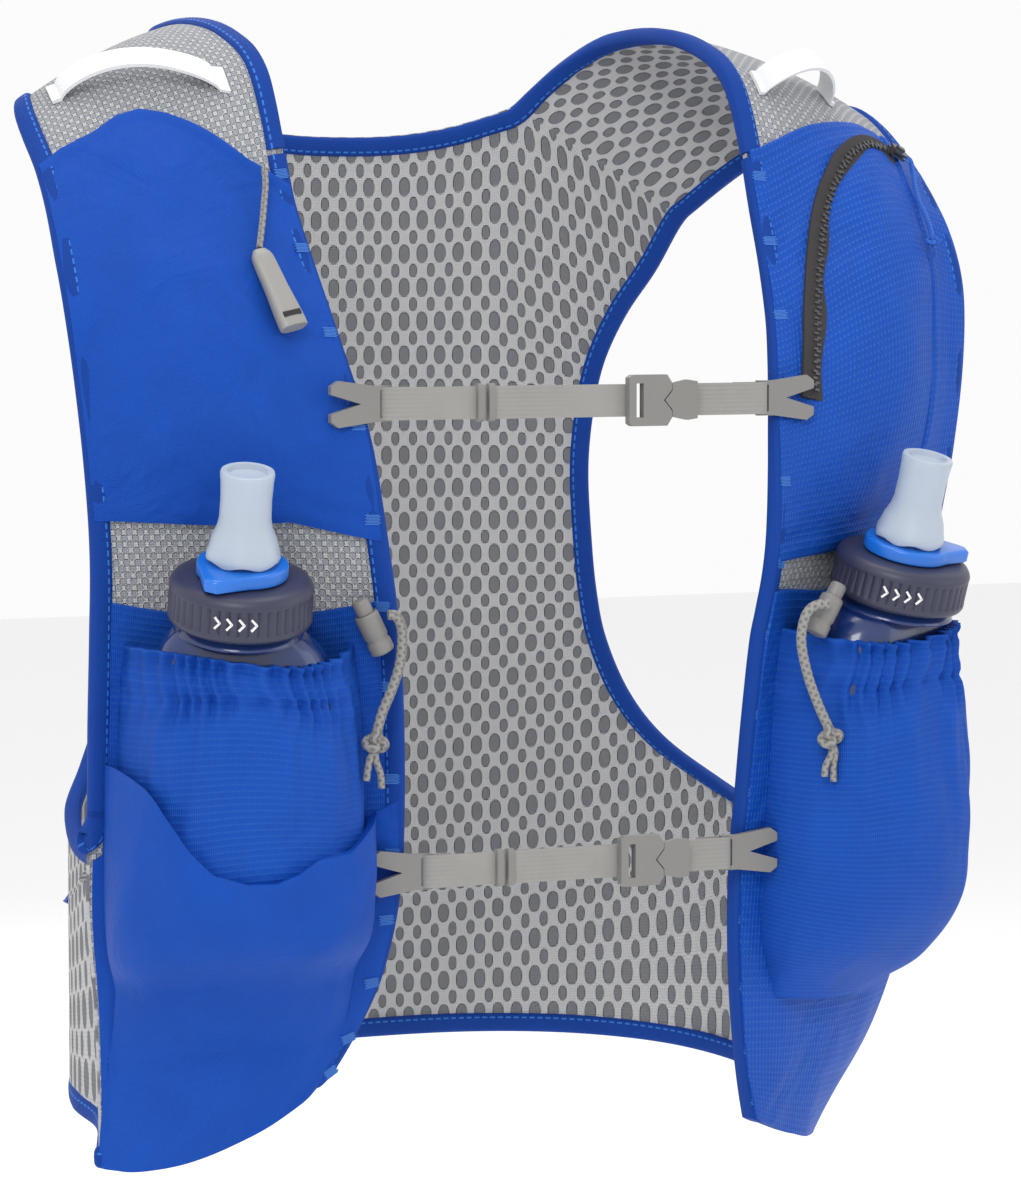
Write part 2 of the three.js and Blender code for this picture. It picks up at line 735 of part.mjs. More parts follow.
function flaskBasis(side) {
  const up = flaskAxis(side);
  const across = vector(sides[side], 0, 0).addScaledVector(up, -up.x * sides[side]).normalize();
  return { across, up, out: across.clone().cross(up).multiplyScalar(sides[side]).normalize() };
}

function turned(side, points, segments = 16) {
  const geometry = new THREE.LatheGeometry(points.map(([r, h]) => new THREE.Vector2(r, h)), segments);
  const { across, up } = flaskBasis(side);
  geometry.applyMatrix4(new THREE.Matrix4().makeBasis(across, up, across.clone().cross(up)));
  const origin = flaskOrigin(side);
  geometry.translate(origin.x, origin.y, origin.z);
  return geometry;
}

// depth down the flask as a share of its length, then half width, half depth and stand-off shares
const flaskRows = [
  [.055, .72, .78, 1.05],
  [.13, .88, .88, 1.00],
  [.30, .96, .95, .95],
  [.52, .95, .95, .95],
  [.74, .92, .82, .95],
  [.90, .88, .50, .95],
  [1.00, .82, .14, 1.00],
];

function flaskLevel(side, depth) {
  return flaskSeat[side].v + depth * flaskLength / panelPitch(side, .75);
}

function flaskRings(side, grow = 0) {
  const { across, up } = flaskBasis(side);
  const out = across.clone().cross(up).multiplyScalar(-1);
  const forward = out.dot(panelFrame(side, .5, .7).out) > 0 ? out : out.clone().negate();
  const origin = flaskOrigin(side);
  const angles = Array.from({ length: flaskColumns }, (_, k) => 2 * Math.PI * k / flaskColumns);
  const neck = [[neckRadius, -pieceGap], [neckRadius + 3, -4]].map(([r, h]) => angles.map(a =>
    origin.clone().addScaledVector(up, h).addScaledVector(across, r * Math.cos(a)).addScaledVector(forward, r * Math.sin(a))));
  const body = flaskRows.map(([depth, wide, deep, stand]) => {
    const v = flaskLevel(side, depth);
    const halfDeep = flaskDepth / 2 * deep + grow;
    const halfWide = flaskWidth / 2 * wide + grow;
    const centre = (flaskDepth / 2 * stand + pocketClearance + 2) * Math.min(1, deep + .25);
    const share = a => flaskSeat[side].u + halfWide * Math.sign(Math.cos(a)) * Math.abs(Math.cos(a)) ** .85 / panelWidth(side, v);
    return angles.map(a => panelPoint(side, share(a), v, centre + halfDeep * Math.sign(Math.sin(a)) * Math.abs(Math.sin(a)) ** .85));
  });
  return [...neck, ...body];
}

for (const side of Object.keys(sides)) {
  add(`flask_body_${side}`, cutAway(loftBody(flaskRings(side)), [meshClearance[side]]), 0x1c3566, .45);
  const capRadius = capDiameter / 2;
  add(`flask_cap_${side}`, turned(side, [
    [0, 0], [capRadius - 1.5, 0], [capRadius, 2], [capRadius, capHeight - 3], [capRadius - 2.5, capHeight - .4],
    [capRadius - 8, capHeight], [0, capHeight],
  ]), 0x47485c, .55);
}

// Lever ring below the valve, which turns with it
const leverBase = capHeight + pieceGap;
for (const side of Object.keys(sides)) {
  const outline = new THREE.Shape();
  const r = leverDiameter / 2;
  const half = rad(38);
  outline.moveTo(r * Math.cos(half), r * Math.sin(half));
  outline.absarc(0, 0, r, half, 2 * Math.PI - half, false);
  outline.lineTo(leverReach, -3);
  outline.lineTo(leverReach, 3);
  const ring = new THREE.ExtrudeGeometry(outline, { depth: leverHeight, bevelEnabled: false, curveSegments: 9 });
  const { across, up } = flaskBasis(side);
  const heading = rad(side === 'right' ? 140 : 15);
  const pointer = across.clone().multiplyScalar(Math.cos(heading) * sides[side])
    .addScaledVector(vector(0, -1, 0), Math.sin(heading));
  pointer.addScaledVector(up, -pointer.dot(up)).normalize();
  ring.applyMatrix4(new THREE.Matrix4().makeBasis(pointer, up.clone().cross(pointer), up));
  const seat = flaskOrigin(side).addScaledVector(up, leverBase);
  ring.translate(seat.x, seat.y, seat.z);
  add(`flask_lever_${side}`, weld(ring), 0x1d74d2, .35);
  const valveBase = leverBase + leverHeight + pieceGap;
  add(`bite_valve_${side}`, turned(side, [
    [0, valveBase], [valveSkirt / 2 - 3, valveBase], [valveSkirt / 2, valveBase + 2], [valveSkirt / 2 - .5, valveBase + 5],
    [valveNeck / 2, valveBase + valveLength * .45],
    [valveNeck / 2 + .5, valveBase + valveLength], [valveNeck / 2 - 2, valveBase + valveLength],
    [valveNeck / 2 - 2.6, valveBase + valveLength - 2], [0, valveBase + valveLength - 2],
  ], 12), 0xc9d6ee, .35);
}

// Flask pockets: gathered domes of cloth, open at the top.
// share of the pocket's length, half width, height and level
const pocketShape = {
  right: [[0, 1.00, 1.00], [.17, 1.05, 1.05], [.33, 1.07, 1.06], [.5, 1.07, 1.06], [.67, 1.06, 1.03], [.83, 1.02, .86], [1, .92, .30]],
  left: [[0, 1.00, 1.00], [.17, 1.05, 1.05], [.33, 1.07, 1.06], [.5, 1.07, 1.04], [.67, 1.05, .95], [.83, 1.00, .66], [1, .82, .20]],
};
const pocketLength = { right: 138, left: 160 };
const pocketColumns = 10;
const pocketTop = side => flaskSeat[side].v + .022;

function pocketPoint(side, share, angle, shrink, sink = 0) {
  const [, wide, deep] = sampleTable(pocketShape[side], share);
  const v = pocketTop(side) + share * pocketLength[side] / panelPitch(side, .75);
  const reach = flaskWidth / 2 + fabricWall + pocketClearance;
  const rise = flaskDepth + fabricWall + pocketClearance + 3;
  const halfWide = reach * wide - shrink;
  const height = Math.max(rise * deep - shrink, .2);
  const x = halfWide * Math.sign(Math.cos(angle)) * Math.abs(Math.cos(angle)) ** .8;
  const y = height * Math.max(Math.sin(angle), 0) ** .72;
  return panelPoint(side, flaskSeat[side].u + x / panelWidth(side, v), v, y - sink);
}

function pocketWall(side, shrinkOuter, shrinkInner, from, to) {
  const angles = spread(pocketColumns, 0, Math.PI);
  const shares = spread(7, from, to);
  const outer = shares.map(b => angles.map(a => pocketPoint(side, b, a, shrinkOuter)));
  const inner = shares.map(b => angles.map(a => pocketPoint(side, b, a, shrinkInner)));
  return wallBody(outer, inner);
}

const pocketBulk = {};
for (const side of Object.keys(sides)) {
  const bulkRings = [-.01, ...spread(7), 1.01].map(b => [
    ...spread(pocketColumns, 0, Math.PI).map(a => pocketPoint(side, b, a, -pieceGap * 2)),
    pocketPoint(side, b, Math.PI, -pieceGap * 2, meshWall),
    panelPoint(side, flaskSeat[side].u, pocketTop(side) + b * pocketLength[side] / panelPitch(side, .75), -meshWall),
    pocketPoint(side, b, 0, -pieceGap * 2, meshWall),
  ]);
  pocketBulk[side] = solid(loftBody(bulkRings));
  add(`flask_pocket_${side}`, cutAway(
    pocketWall(side, 0, fabricWall, 0, 1),
    [meshClearance[side], ...skinTools(side)],
  ), blue);
}

// Lower pockets: a smooth skin below, drawn over the flask pocket's foot on the right.
const lowerTop = { right: lowerTopRight, left: lowerTopLeft };
const footFade = .25;

function lowerPoint(side, u, b, lift) {
  const v = mix(sampleLine(lowerTop[side], u), .998, b);
  const reach = v < armholeFoot + seamShift ? 1 - edgeShare / 2 : 1;
  return panelPoint(side, Math.min(u, reach), v, lift);
}

// A point of the skin where it is drawn over the flask pocket, by the pocket's own section
function overPocket(side, angle, b, grow) {
  const wideness = flaskWidth / 2 + fabricWall + pocketClearance;
  const swing = Math.sign(Math.cos(angle)) * Math.abs(Math.cos(angle)) ** .8;
  let x = wideness * swing;
  let v = 0;
  let share = 0;
  let row = [];
  for (let pass = 0; pass < 3; pass += 1) {
    const u = flaskSeat[side].u + x / panelWidth(side, .78);
    v = mix(sampleLine(lowerTop[side], clamp(u, 0, 1)), .998, b);
    share = (v - pocketTop(side)) * panelPitch(side, .75) / pocketLength[side];
    row = sampleTable(pocketShape[side], clamp(share, 0, 1));
    x = (wideness * row[1] + grow) * swing;
  }
  const fade = clamp(1 - (share - 1) / footFade, 0, 1);
  const rise = (flaskDepth + fabricWall + pocketClearance + 3) * row[2] * fade + grow;
  const height = Math.max(rise * Math.max(Math.sin(angle), 0) ** .72, grow > 1.5 ? pieceGap + fabricWall : -skinSink);
  return panelPoint(side, flaskSeat[side].u + x / panelWidth(side, v), v, height);
}

function lowerRow(side, b, outer) {
  const lift = outer ? pieceGap + fabricWall : -skinSink;
  const plain = us => us.map(u => lowerPoint(side, u, b, lift));
  if (side === 'left') return plain([.01, ...spread(8, edgeShare, 1 - edgeShare), .99]);
  const grow = pieceGap * 2.4 + (outer ? fabricWall : 0);
  return [
    ...plain([.01, .05]),
    ...spread(12, Math.PI, 0).map(angle => overPocket(side, angle, b, grow)),
    ...plain([.95, .99]),
  ];
}

function lowerWall(side) {
  const steps = spread(8);
  return wallBody(steps.map(b => lowerRow(side, b, true)), steps.map(b => lowerRow(side, b, false)));
}
for (const side of Object.keys(sides)) {
  add(`lower_pocket_${side}`, cutAway(
    lowerWall(side),
    [meshClearance[side], pocketBulk[side], ...skinTools(side)],
  ), smoothBlue);
}

// Back pouch: a plain shell that stands off the back mesh, open at the top.
const pouchSeat = 1.2;
function pouchPoint(a, b, offset) {
  const s = mix(-.60, .60, a);
  const v = mix(.17, .74, b);
  const bulge = pouchDepth * Math.sin(Math.PI * a) ** .5 * Math.cos(Math.PI / 2 * b) ** .35;
  return backPoint(s, v, Math.max(bulge, 0) + pouchSeat + offset);
}
const pouchColumns = spread(10);
const pouchRows = spread(6);
add('back_pouch', cutAway(wallBody(
  pouchRows.map(b => pouchColumns.map(a => pouchPoint(a, b, fabricWall))),
  pouchRows.map(b => pouchColumns.map(a => pouchPoint(a, b, 0))),
), [backClearance]), blue);

// Hang loop behind the neck
const hangLoopReach = .30;
const hangRise = 8.7;
const hangRings = spread(14, -1, 1).map(a => {
  const frame = backFrame(a * hangLoopReach, .028);
  const lift = pieceGap + hangRise * (1 - a ** 4);
  return [[0, 0], [10, 0], [10, fabricWall], [0, fabricWall]].map(([down, out]) =>
    frame.point.clone().addScaledVector(frame.down, down - 1).addScaledVector(frame.out, lift + out));
});
add('hang_loop', loftBody(hangRings), 0x8d8d8d);

// White loops over the shoulders: from u, v to u, v with a rise
const shoulderLoops = {
  right: { start: [.18, .372], end: [.84, .300], rise: 9 },
  left: { start: [.14, .366], end: [.58, .340], rise: 14 },
};
for (const side of Object.keys(sides)) {
  const { start, end, rise } = shoulderLoops[side];
  const rings = spread(14).map(t => {
    const u = mix(start[0], end[0], t);
    const v = mix(start[1], end[1], t);
    const frame = panelFrame(side, u, v);
    const lift = pieceGap + rise * Math.sin(Math.PI * clamp((t - .06) / .88, 0, 1)) ** .6;
    return [[-1, 0], [1, 0], [1, 1], [-1, 1]].map(([wide, out]) => frame.point.clone()
      .addScaledVector(frame.down, wide * loopWidth / 2).addScaledVector(frame.out, lift + out * fabricWall));
  });
  add(`shoulder_loop_${side}`, cutAway(loftBody(rings), [meshClearance[side]]), 0xe4e4e4, .5);
}

// Sternum straps
for (const level of Object.keys(strapLevel)) {
  const z = strapLevel[level] * vestHeight;
  add(`${level}_clip_right`, clipBody('right', z), hardwareGrey, .5);
  add(`${level}_clip_left`, clipBody('left', z), hardwareGrey, .5);
  const bars = strapEnds(level);
  const x = bars.left.clone().sub(bars.right).normalize();
  const up = vector(0, 0, 1).addScaledVector(x, -x.z).normalize();
  const front = x.clone().cross(up);
  const span = bars.left.distanceTo(bars.right);
  const buckleFrom = span * .615;
  const buckleTo = buckleFrom + buckleLength;
  const at = (along, out = 0, high = 0) => bars.right.clone().addScaledVector(x, along)
    .addScaledVector(front, out).addScaledVector(up, high);
  const ribbon = (start, end, out, wall) => {
    const box = new THREE.BoxGeometry(end - start, webbingWidth, wall);
    const middle = at((start + end) / 2, out);
    return placed(box, middle, x, up, front);
  };
  const clipFace = clipPlate / 2 + pieceGap;
  const rear = webbingWall / 2 + clipFace;
  const socketSlot = 4.5;
  const right = solid(ribbon(1.4, buckleFrom + socketSlot, rear, webbingWall))
    .add(solid(ribbon(span * .27, buckleFrom + socketSlot, rear + webbingWall * .96, webbingWall)));
  add(`${level}_webbing_right`, geometryOf(right), 0xb5b3ad, .9);
  add(`${level}_webbing_left`, weld(ribbon(buckleTo - 4, span - 1.4, rear, webbingWall)), 0xb5b3ad, .9);
  const half = buckleHeight / 2;
  const seat = rear + webbingWall / 2 + pieceGap;
  const socketOutline = [
    [0, -half + 1], [1.5, -half], [buckleLength * .55, -half], [buckleLength * .62, -half + 3], [buckleLength * .62, -4],
    [buckleLength * .50, 0], [buckleLength * .62, 4], [buckleLength * .62, half - 3], [buckleLength * .55, half],
    [1.5, half], [0, half - 1],
  ];
  const socket = plate(socketOutline, buckleDepth * .55, [[3, 6.3], [6, 6.3], [6, -6.3], [3, -6.3]]);
  add(`${level}_buckle_socket`, weld(placed(socket, at(buckleFrom, seat + webbingWall), x, up, front)), hardwareGrey, .5);
  const plug = plate([
    [buckleLength * .62 + pieceGap, -half + 3.4], [buckleLength * .86, -half + 2], [buckleLength, -half + 2.6],
    [buckleLength, half - 2.6], [buckleLength * .86, half - 2], [buckleLength * .62 + pieceGap, half - 3.4],
    [buckleLength * .62 + pieceGap, 3.6], [buckleLength * .50 + pieceGap * 2, 0], [buckleLength * .62 + pieceGap, -3.6],
  ], buckleDepth * .5);
  add(`${level}_buckle_plug`, weld(placed(plug, at(buckleFrom, seat + webbingWall), x, up, front)), hardwareGrey, .5);
}

// Draw-cord locks in front of the flask pockets' inner edges
const lockPlace = {
  right: { top: [-91.9, -118.1, -213.5], foot: [-82.9, -118.1, -231.5] },
  left: { top: [103.6, -124, -214.4], foot: [94.1, -124, -230.6] },
};
const point = ([x, y, z]) => vector(x, y, z);

function rod(from, to, radius, sidesOfRod = 12) {
  const along = to.clone().sub(from);
  const geometry = new THREE.CylinderGeometry(radius, radius, along.length(), sidesOfRod);
  geometry.applyQuaternion(new THREE.Quaternion().setFromUnitVectors(vector(0, 1, 0), along.clone().normalize()));
  const middle = from.clone().add(to).divideScalar(2);
  geometry.translate(middle.x, middle.y, middle.z);
  return weld(geometry);
}

// Cord routes, from the exit to the end
const cordRoutes = {
  cord_front_right: [[-83.6, -123.6, -217.5], [-80.8, -124.1, -218], [-78.4, -123.6, -222], [-77.6, -122.6, -228],
    [-78.4, -122.1, -236], [-81.4, -121.6, -245], [-84.9, -121.1, -253], [-86.9, -121.1, -259.5]],
  cord_front_left: [[95.7, -130.8, -218.9], [90.4, -131.3, -219.2], [86.7, -131.2, -221.9], [84.8, -130.9, -227.4],
    [84.4, -131.1, -234.3], [87, -131.3, -245.3], [91.3, -131.5, -256.2], [95.4, -131.9, -264.7]],
  whistle_cord: [[-110.3, -75.6, -56.7], [-111, -78, -62.6], [-112.2, -79.6, -68.1], [-114.6, -83.2, -76.1], [-117.8, -87.6, -85.5]],
  zipper_pull: [[176.6, -57.4, -52.6], [175.9, -60.2, -56.8], [173.4, -65.6, -61.9], [171.8, -70.9, -67.2],
    [171.3, -76.1, -72.2], [171.1, -79.9, -76.7], [170.4, -83.1, -80.4]],
};
const cordSize = { cord_front_right: lockCord * 1.7, cord_front_left: lockCord * 1.7, whistle_cord: whistleCord, zipper_pull: pullCord };
const cordColour = { cord_front_right: 0x8f8f8c, cord_front_left: 0x8f8f8c, whistle_cord: 0x8f8f8c, zipper_pull: 0x1f57c4 };

function ring(radius, count) {
  return new THREE.Shape(Array.from({ length: count }, (_, k) =>
    new THREE.Vector2(radius * Math.cos(2 * Math.PI * k / count), radius * Math.sin(2 * Math.PI * k / count))));
}

for (const [name, route] of Object.entries(cordRoutes)) {
  const curve = new THREE.CatmullRomCurve3(route.map(point));
  const steps = Math.max(6, Math.round(curve.getLength() / (cordSize[name] * 2.2)));
  const tube = new THREE.ExtrudeGeometry(ring(cordSize[name] / 2, 8), { steps, extrudePath: curve, bevelEnabled: false });
  add(name, weld(tube), cordColour[name], .9);
}

function knotAfter(name, length, width) {
  const route = cordRoutes[name].map(point);
  const end = route.at(-1);
  const away = end.clone().sub(route.at(-2)).normalize().lerp(vector(0, 0, -1), .5).normalize();
  const start = end.clone().addScaledVector(away, pieceGap);
  const shape = [[0, 0], [.34, .06], [.5, .3], [.5, .62], [.36, .92], [0, 1]];
  const body = new THREE.LatheGeometry(shape.map(([r, h]) => new THREE.Vector2(r * width, h * length)), 10);
  body.applyQuaternion(new THREE.Quaternion().setFromUnitVectors(vector(0, 1, 0), away));
  body.translate(start.x, start.y, start.z);
  return { body: solid(body), start, away };
}

for (const side of Object.keys(sides)) {
  const top = point(lockPlace[side].top);
  const foot = point(lockPlace[side].foot);
  const away = top.clone().sub(foot).normalize();
  const barrel = new THREE.LatheGeometry([
    [0, 0], [lockDiameter / 2, 0], [lockDiameter / 2, lockLength], [buttonDiameter / 2 + pieceGap, lockLength],
    [buttonDiameter / 2 + pieceGap, lockLength - buttonTravel * 1.5], [0, lockLength - buttonTravel * 1.5],
  ].map(([r, h]) => new THREE.Vector2(r, h)), 12);
  barrel.applyQuaternion(new THREE.Quaternion().setFromUnitVectors(vector(0, 1, 0), away));
  barrel.translate(foot.x, foot.y, foot.z);
  add(`cord_lock_${side}`, weld(barrel), hardwareGrey, .5);
  const buttonFoot = foot.clone().addScaledVector(away, lockLength - buttonInset);
  add(`cord_button_${side}`, rod(buttonFoot, buttonFoot.clone().addScaledVector(away, buttonLength), buttonDiameter / 2),
    hardwareGrey, .5);
  const knot = knotAfter(`cord_front_${side}`, knotLength, knotWidth);
  const tails = [-1, 1].map(k => rod(
    knot.start.clone().addScaledVector(knot.away, knotLength * .8).add(vector(k * 1.6, 0, 0)),
    knot.start.clone().add(vector(k * 3.2 - 1, 0, -knotLength - 9)), lockCord / 2, 8));
  add(`cord_knot_${side}`, geometryOf(tails.reduce((body, tail) => body.add(solid(tail)), knot.body)), 0x8f8f8c, .9);
}
add('pull_knot', geometryOf(knotAfter('zipper_pull', 5, 4.4).body), 0x1f57c4, .9);

// Whistle hanging on its cord
const whistleTop = point(cordRoutes.whistle_cord.at(-1)).add(vector(-.4, -.3, -.8));
const whistleFoot = vector(-110.8, -105.7, -117.1);
{
  const away = whistleFoot.clone().sub(whistleTop).normalize();
  const face = panelFrame('right', .25, .52).out;
  const across = away.clone().cross(face).normalize();
  const out = across.clone().cross(away).normalize();
  const rows = [[0, .62, .5], [.10, .86, .72], [.5, .95, .9], [.8, 1.08, 1], [1, 1.12, 1]];
  const rings = rows.map(([share, wide, deep]) => Array.from({ length: 10 }, (_, k) => {
    const a = 2 * Math.PI * k / 10;
    return whistleTop.clone().addScaledVector(away, share * whistleLength)
      .addScaledVector(across, whistleWidth / 2 * wide * Math.cos(a))
      .addScaledVector(out, whistleDepth / 2 * deep * Math.sin(a));
  }));
  add('whistle', loftBody(rings), 0x9d9c98, .45);
}

export default group;
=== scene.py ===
import math
import bpy
import numpy as np
from mathutils import Matrix, Vector


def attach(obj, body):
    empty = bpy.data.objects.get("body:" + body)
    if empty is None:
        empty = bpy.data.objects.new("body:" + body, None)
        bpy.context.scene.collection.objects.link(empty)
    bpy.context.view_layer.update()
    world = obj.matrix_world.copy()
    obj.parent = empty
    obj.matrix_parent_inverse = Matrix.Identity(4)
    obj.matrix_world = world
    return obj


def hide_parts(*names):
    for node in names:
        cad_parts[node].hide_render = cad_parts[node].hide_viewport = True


# Running hydration vest in its worn form. Lengths below are millimetres, turned to metres as each mesh is made.
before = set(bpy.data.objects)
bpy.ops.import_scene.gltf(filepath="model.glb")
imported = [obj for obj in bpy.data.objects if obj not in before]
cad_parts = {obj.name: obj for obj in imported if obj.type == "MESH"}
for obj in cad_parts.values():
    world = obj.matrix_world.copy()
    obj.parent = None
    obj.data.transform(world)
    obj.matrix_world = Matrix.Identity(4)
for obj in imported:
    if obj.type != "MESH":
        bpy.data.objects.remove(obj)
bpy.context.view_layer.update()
print("frame loaded")

garment = {
    "halfWidth": 190, "bodyDepth": 216, "height": 430, "crown": 6, "hemDrop": 10,
    "meshWall": 3.0, "clothWall": 1.4, "tapeWidth": 8, "tapeLeaf": 1.7, "gap": 0.35,
}
colours = {
    "royal": (0.003, 0.066, 0.40), "royalDeep": (0.0015, 0.030, 0.215), "edge": (0.002, 0.048, 0.30),
    # The dark grey for the mesh holes is painted shade.
    # The lighter royal blue is a painted highlight for the tops of the weave ridges.
    "royalRidgeHighlight": (0.022, 0.130, 0.50), "mesh": (0.50, 0.50, 0.51), "meshHoleShade": (0.13, 0.135, 0.15),
    "thread": (0.035, 0.17, 0.58), "zipTape": (0.050, 0.046, 0.048), "band": (0.80, 0.81, 0.82),
    "grey": (0.29, 0.285, 0.27),
    "hardware": (0.215, 0.21, 0.20), "blueCord": (0.02, 0.13, 0.60), "film": (0.008, 0.03, 0.15),
    "cap": (0.032, 0.034, 0.068), "lever": (0.01, 0.16, 0.66), "valve": (0.62, 0.70, 0.80),
    "pureWhite": (0.85, 0.85, 0.86),
}

# Rows run from the shoulder to the hem: x, y, z of the inner edge, then of the outer edge, crown, hem drop
strapRows = [
    [.390, .407, -.065, .720, .250, -.172, .8, 0], [.460, .366, -.030, .785, .153, -.133, .8, 0],
    [.500, .270, -.005, .865, .065, -.100, .8, 0], [.510, .153, .002, .915, .000, -.081, .8, 0],
    [.510, .023, .000, .953, -.042, -.077, .8, 0], [.510, -.100, -.012, .974, -.083, -.086, .8, 0],
    [.510, -.210, -.037, .984, -.143, -.107, .8, 0], [.510, -.273, -.084, .990, -.230, -.144, .8, 0],
    [.505, -.333, -.163, 1.00, -.310, -.195, .8, 0], [.480, -.430, -.256, .995, -.356, -.260, 1.0, 0],
    [.440, -.510, -.360, .970, -.366, -.360, .7, 0], [.420, -.546, -.465, .942, -.347, -.465, -1.0, 0],
    [.390, -.532, -.558, .947, -.352, -.558, -1.5, 0], [.374, -.514, -.663, .953, -.352, -.663, -.8, 0],
    [.368, -.490, -.744, .942, -.315, -.756, .3, 0],
]
frontRows = {
    "right": strapRows + [
        [.390, -.458, -.819, .910, -.278, -.842, .8, .1], [.437, -.417, -.879, .890, -.250, -.926, 1.0, .5],
        [.474, -.403, -.905, .880, -.230, -.986, 1.0, 1.0],
    ],
    "left": strapRows + [
        [.384, -.463, -.833, .905, -.260, -.842, .8, 0], [.420, -.430, -.919, .868, -.194, -.926, 1.2, 0],
        [.463, -.403, -.977, .800, -.100, -1.014, 1.3, .3],
    ],
}
# Rows run from the neckline to the hem: width, height at the side, height in the middle, power between them
backRows = [
    [.478, -.172, -.095, 1.5], [.430, -.226, -.167, 1.6], [.372, -.284, -.244, 2.0], [.345, -.349, -.337, 2.0],
    [.336, -.419, -.419, 2.0], [.345, -.500, -.500, 2.0], [.360, -.565, -.581, 2.0], [.410, -.633, -.663, 2.0],
    [.500, -.684, -.726, 2.0], [.660, -.723, -.779, 2.0], [.840, -.728, -.814, 2.0], [1.00, -.688, -.842, 2.0],
    [1.00, -.767, -.879, 2.2], [1.00, -.879, -.914, 2.4], [1.00, -1.00, -.951, 2.2],
]
# The back seen from above, x and y from the middle to the side
planRows = [
    [0, .454], [.210, .449], [.395, .417], [.547, .361], [.668, .278],
    [.753, .176], [.789, .056], [.816, -.069], [.874, -.204], [.953, -.333],
]
sides = {"right": -1, "left": 1}
neckShare = .56
armholeFoot = .775
railStart = .44


def unit(a):
    return a / np.maximum(np.linalg.norm(a, axis=-1, keepdims=True), 1e-12)


def mix(a, b, t):
    return a + (b - a) * t


def ease(t):
    return t * t * (3 - 2 * t)


def squarer(value, power):
    return np.sign(value) * np.abs(value) ** power


def curveBetween(a, b, c, d, t):
    return .5 * (2 * b + (c - a) * t + (2 * a - 5 * b + 4 * c - d) * t ** 2 + (3 * b - a - 3 * c + d) * t ** 3)


def circleAngles(count):
    return np.linspace(0, 2 * np.pi, count, endpoint=False)


def roundOf(angle, one, two):
    return np.cos(angle)[:, None] * one + np.sin(angle)[:, None] * two


def stepsOf(points, axis=0):
    return np.linalg.norm(np.diff(points, axis=axis), axis=-1)


def sampleTable(rows, v):
    rows = np.asarray(rows, float)
    last = len(rows) - 1
    x = np.clip(np.asarray(v, float), 0, 1) * last
    i = np.minimum(np.floor(x).astype(int), last - 1)
    t = (x - i)[..., None]
    return curveBetween(*(rows[np.clip(i + k, 0, last)] for k in (-1, 0, 1, 2)), t)


def sampleLine(rows, x):
    rows = np.asarray(rows, float)
    return np.interp(x, rows[:, 0], rows[:, 1])


def panelBase(side, u, v):
    u, v = np.broadcast_arrays(np.asarray(u, float), np.asarray(v, float))
    scale = np.array([garment["halfWidth"] * sides[side], garment["bodyDepth"], garment["height"]])

    def at(x):
        r = sampleTable(frontRows[side], x)
        return r[..., 0:3] * scale, r[..., 3:6] * scale, r[..., 6] * garment["crown"], r[..., 7] * garment["hemDrop"]

    inner, outer, crown, drop = at(v)
    w = np.clip(v, 1e-3, 1 - 1e-3)
    above, below = at(w - 1e-3), at(w + 1e-3)
    chord = outer - inner
    away = unit(np.cross(chord, below[0] + below[1] - above[0] - above[1])) * -sides[side]
    bow = 4 * u * (1 - u)
    place = inner + chord * u[..., None] + away * (crown * bow)[..., None]
    place[..., 2] -= drop * bow
    return place


def frameOf(base, u, v, turn):
    u, v = np.broadcast_arrays(np.asarray(u, float), np.asarray(v, float))
    step = 1e-3
    across = base(u + step, v) - base(u - step, v)
    down = base(u, np.minimum(v + step, 1)) - base(u, np.maximum(v - step, 0))
    return base(u, v), unit(across), unit(down), unit(np.cross(across, down)) * turn


def panelFrame(side, u, v):
    return frameOf(lambda a, b: panelBase(side, a, b), u, v, -sides[side])


def panelPoint(side, u, v, offset=0.0):
    place, _, _, out = panelFrame(side, u, v)
    return place + out * np.asarray(offset, float)[..., None]


def panelWidth(side, v):
    return np.linalg.norm(panelBase(side, 0.0, v) - panelBase(side, 1.0, v), axis=-1)


def panelPitch(side, v):
    low = min(v + .01, 1)
    return float(np.linalg.norm(panelBase(side, .5, low) - panelBase(side, .5, low - .02))) / .02


levelStart = .44
levelTables = {}


def levelOn(side, u, z):
    if (side, u) not in levelTables:
        v = np.linspace(levelStart, 1, 4001)
        levelTables[side, u] = v, -panelBase(side, u, v)[..., 2]
    v, depth = levelTables[side, u]
    return np.interp(-np.asarray(z, float), depth, v)


def planPoint(t):
    mirrored = [[-planRows[1][0], planRows[1][1]]] + planRows
    last = len(planRows)
    p = sampleTable(mirrored, (1 + np.clip(t, 0, 1) * (last - 1)) / last)
    return p[..., 0] * garment["halfWidth"], p[..., 1] * garment["bodyDepth"]


def halfBack(side, a, v):
    r = sampleTable(backRows, v)
    t = a * np.minimum(r[..., 0], 1)
    z = mix(r[..., 2], r[..., 1], np.abs(a) ** r[..., 3]) * garment["height"]
    hem = float(panelBase(side, 1.0, 1.0)[2]) - backRows[-1][1] * garment["height"]
    z = z + hem * a ** 2 * ease(np.clip((v - .8) / .2, 0, 1))
    x, y = planPoint(t)
    endX, endY = planPoint(np.array(1.0))
    swing = ease(np.clip((t - .62) / .38, 0, 1))
    target = panelBase(side, 1.0, levelOn(side, 1.0, z))
    return np.stack([(x + swing * (np.abs(target[..., 0]) - endX)) * sides[side],
                     y + swing * (target[..., 1] - endY), z], -1)


def regularBack(s, v):
    s, v = np.broadcast_arrays(np.asarray(s, float), np.asarray(v, float))
    return np.where((s < 0)[..., None], halfBack("right", np.abs(s), v), halfBack("left", np.abs(s), v))


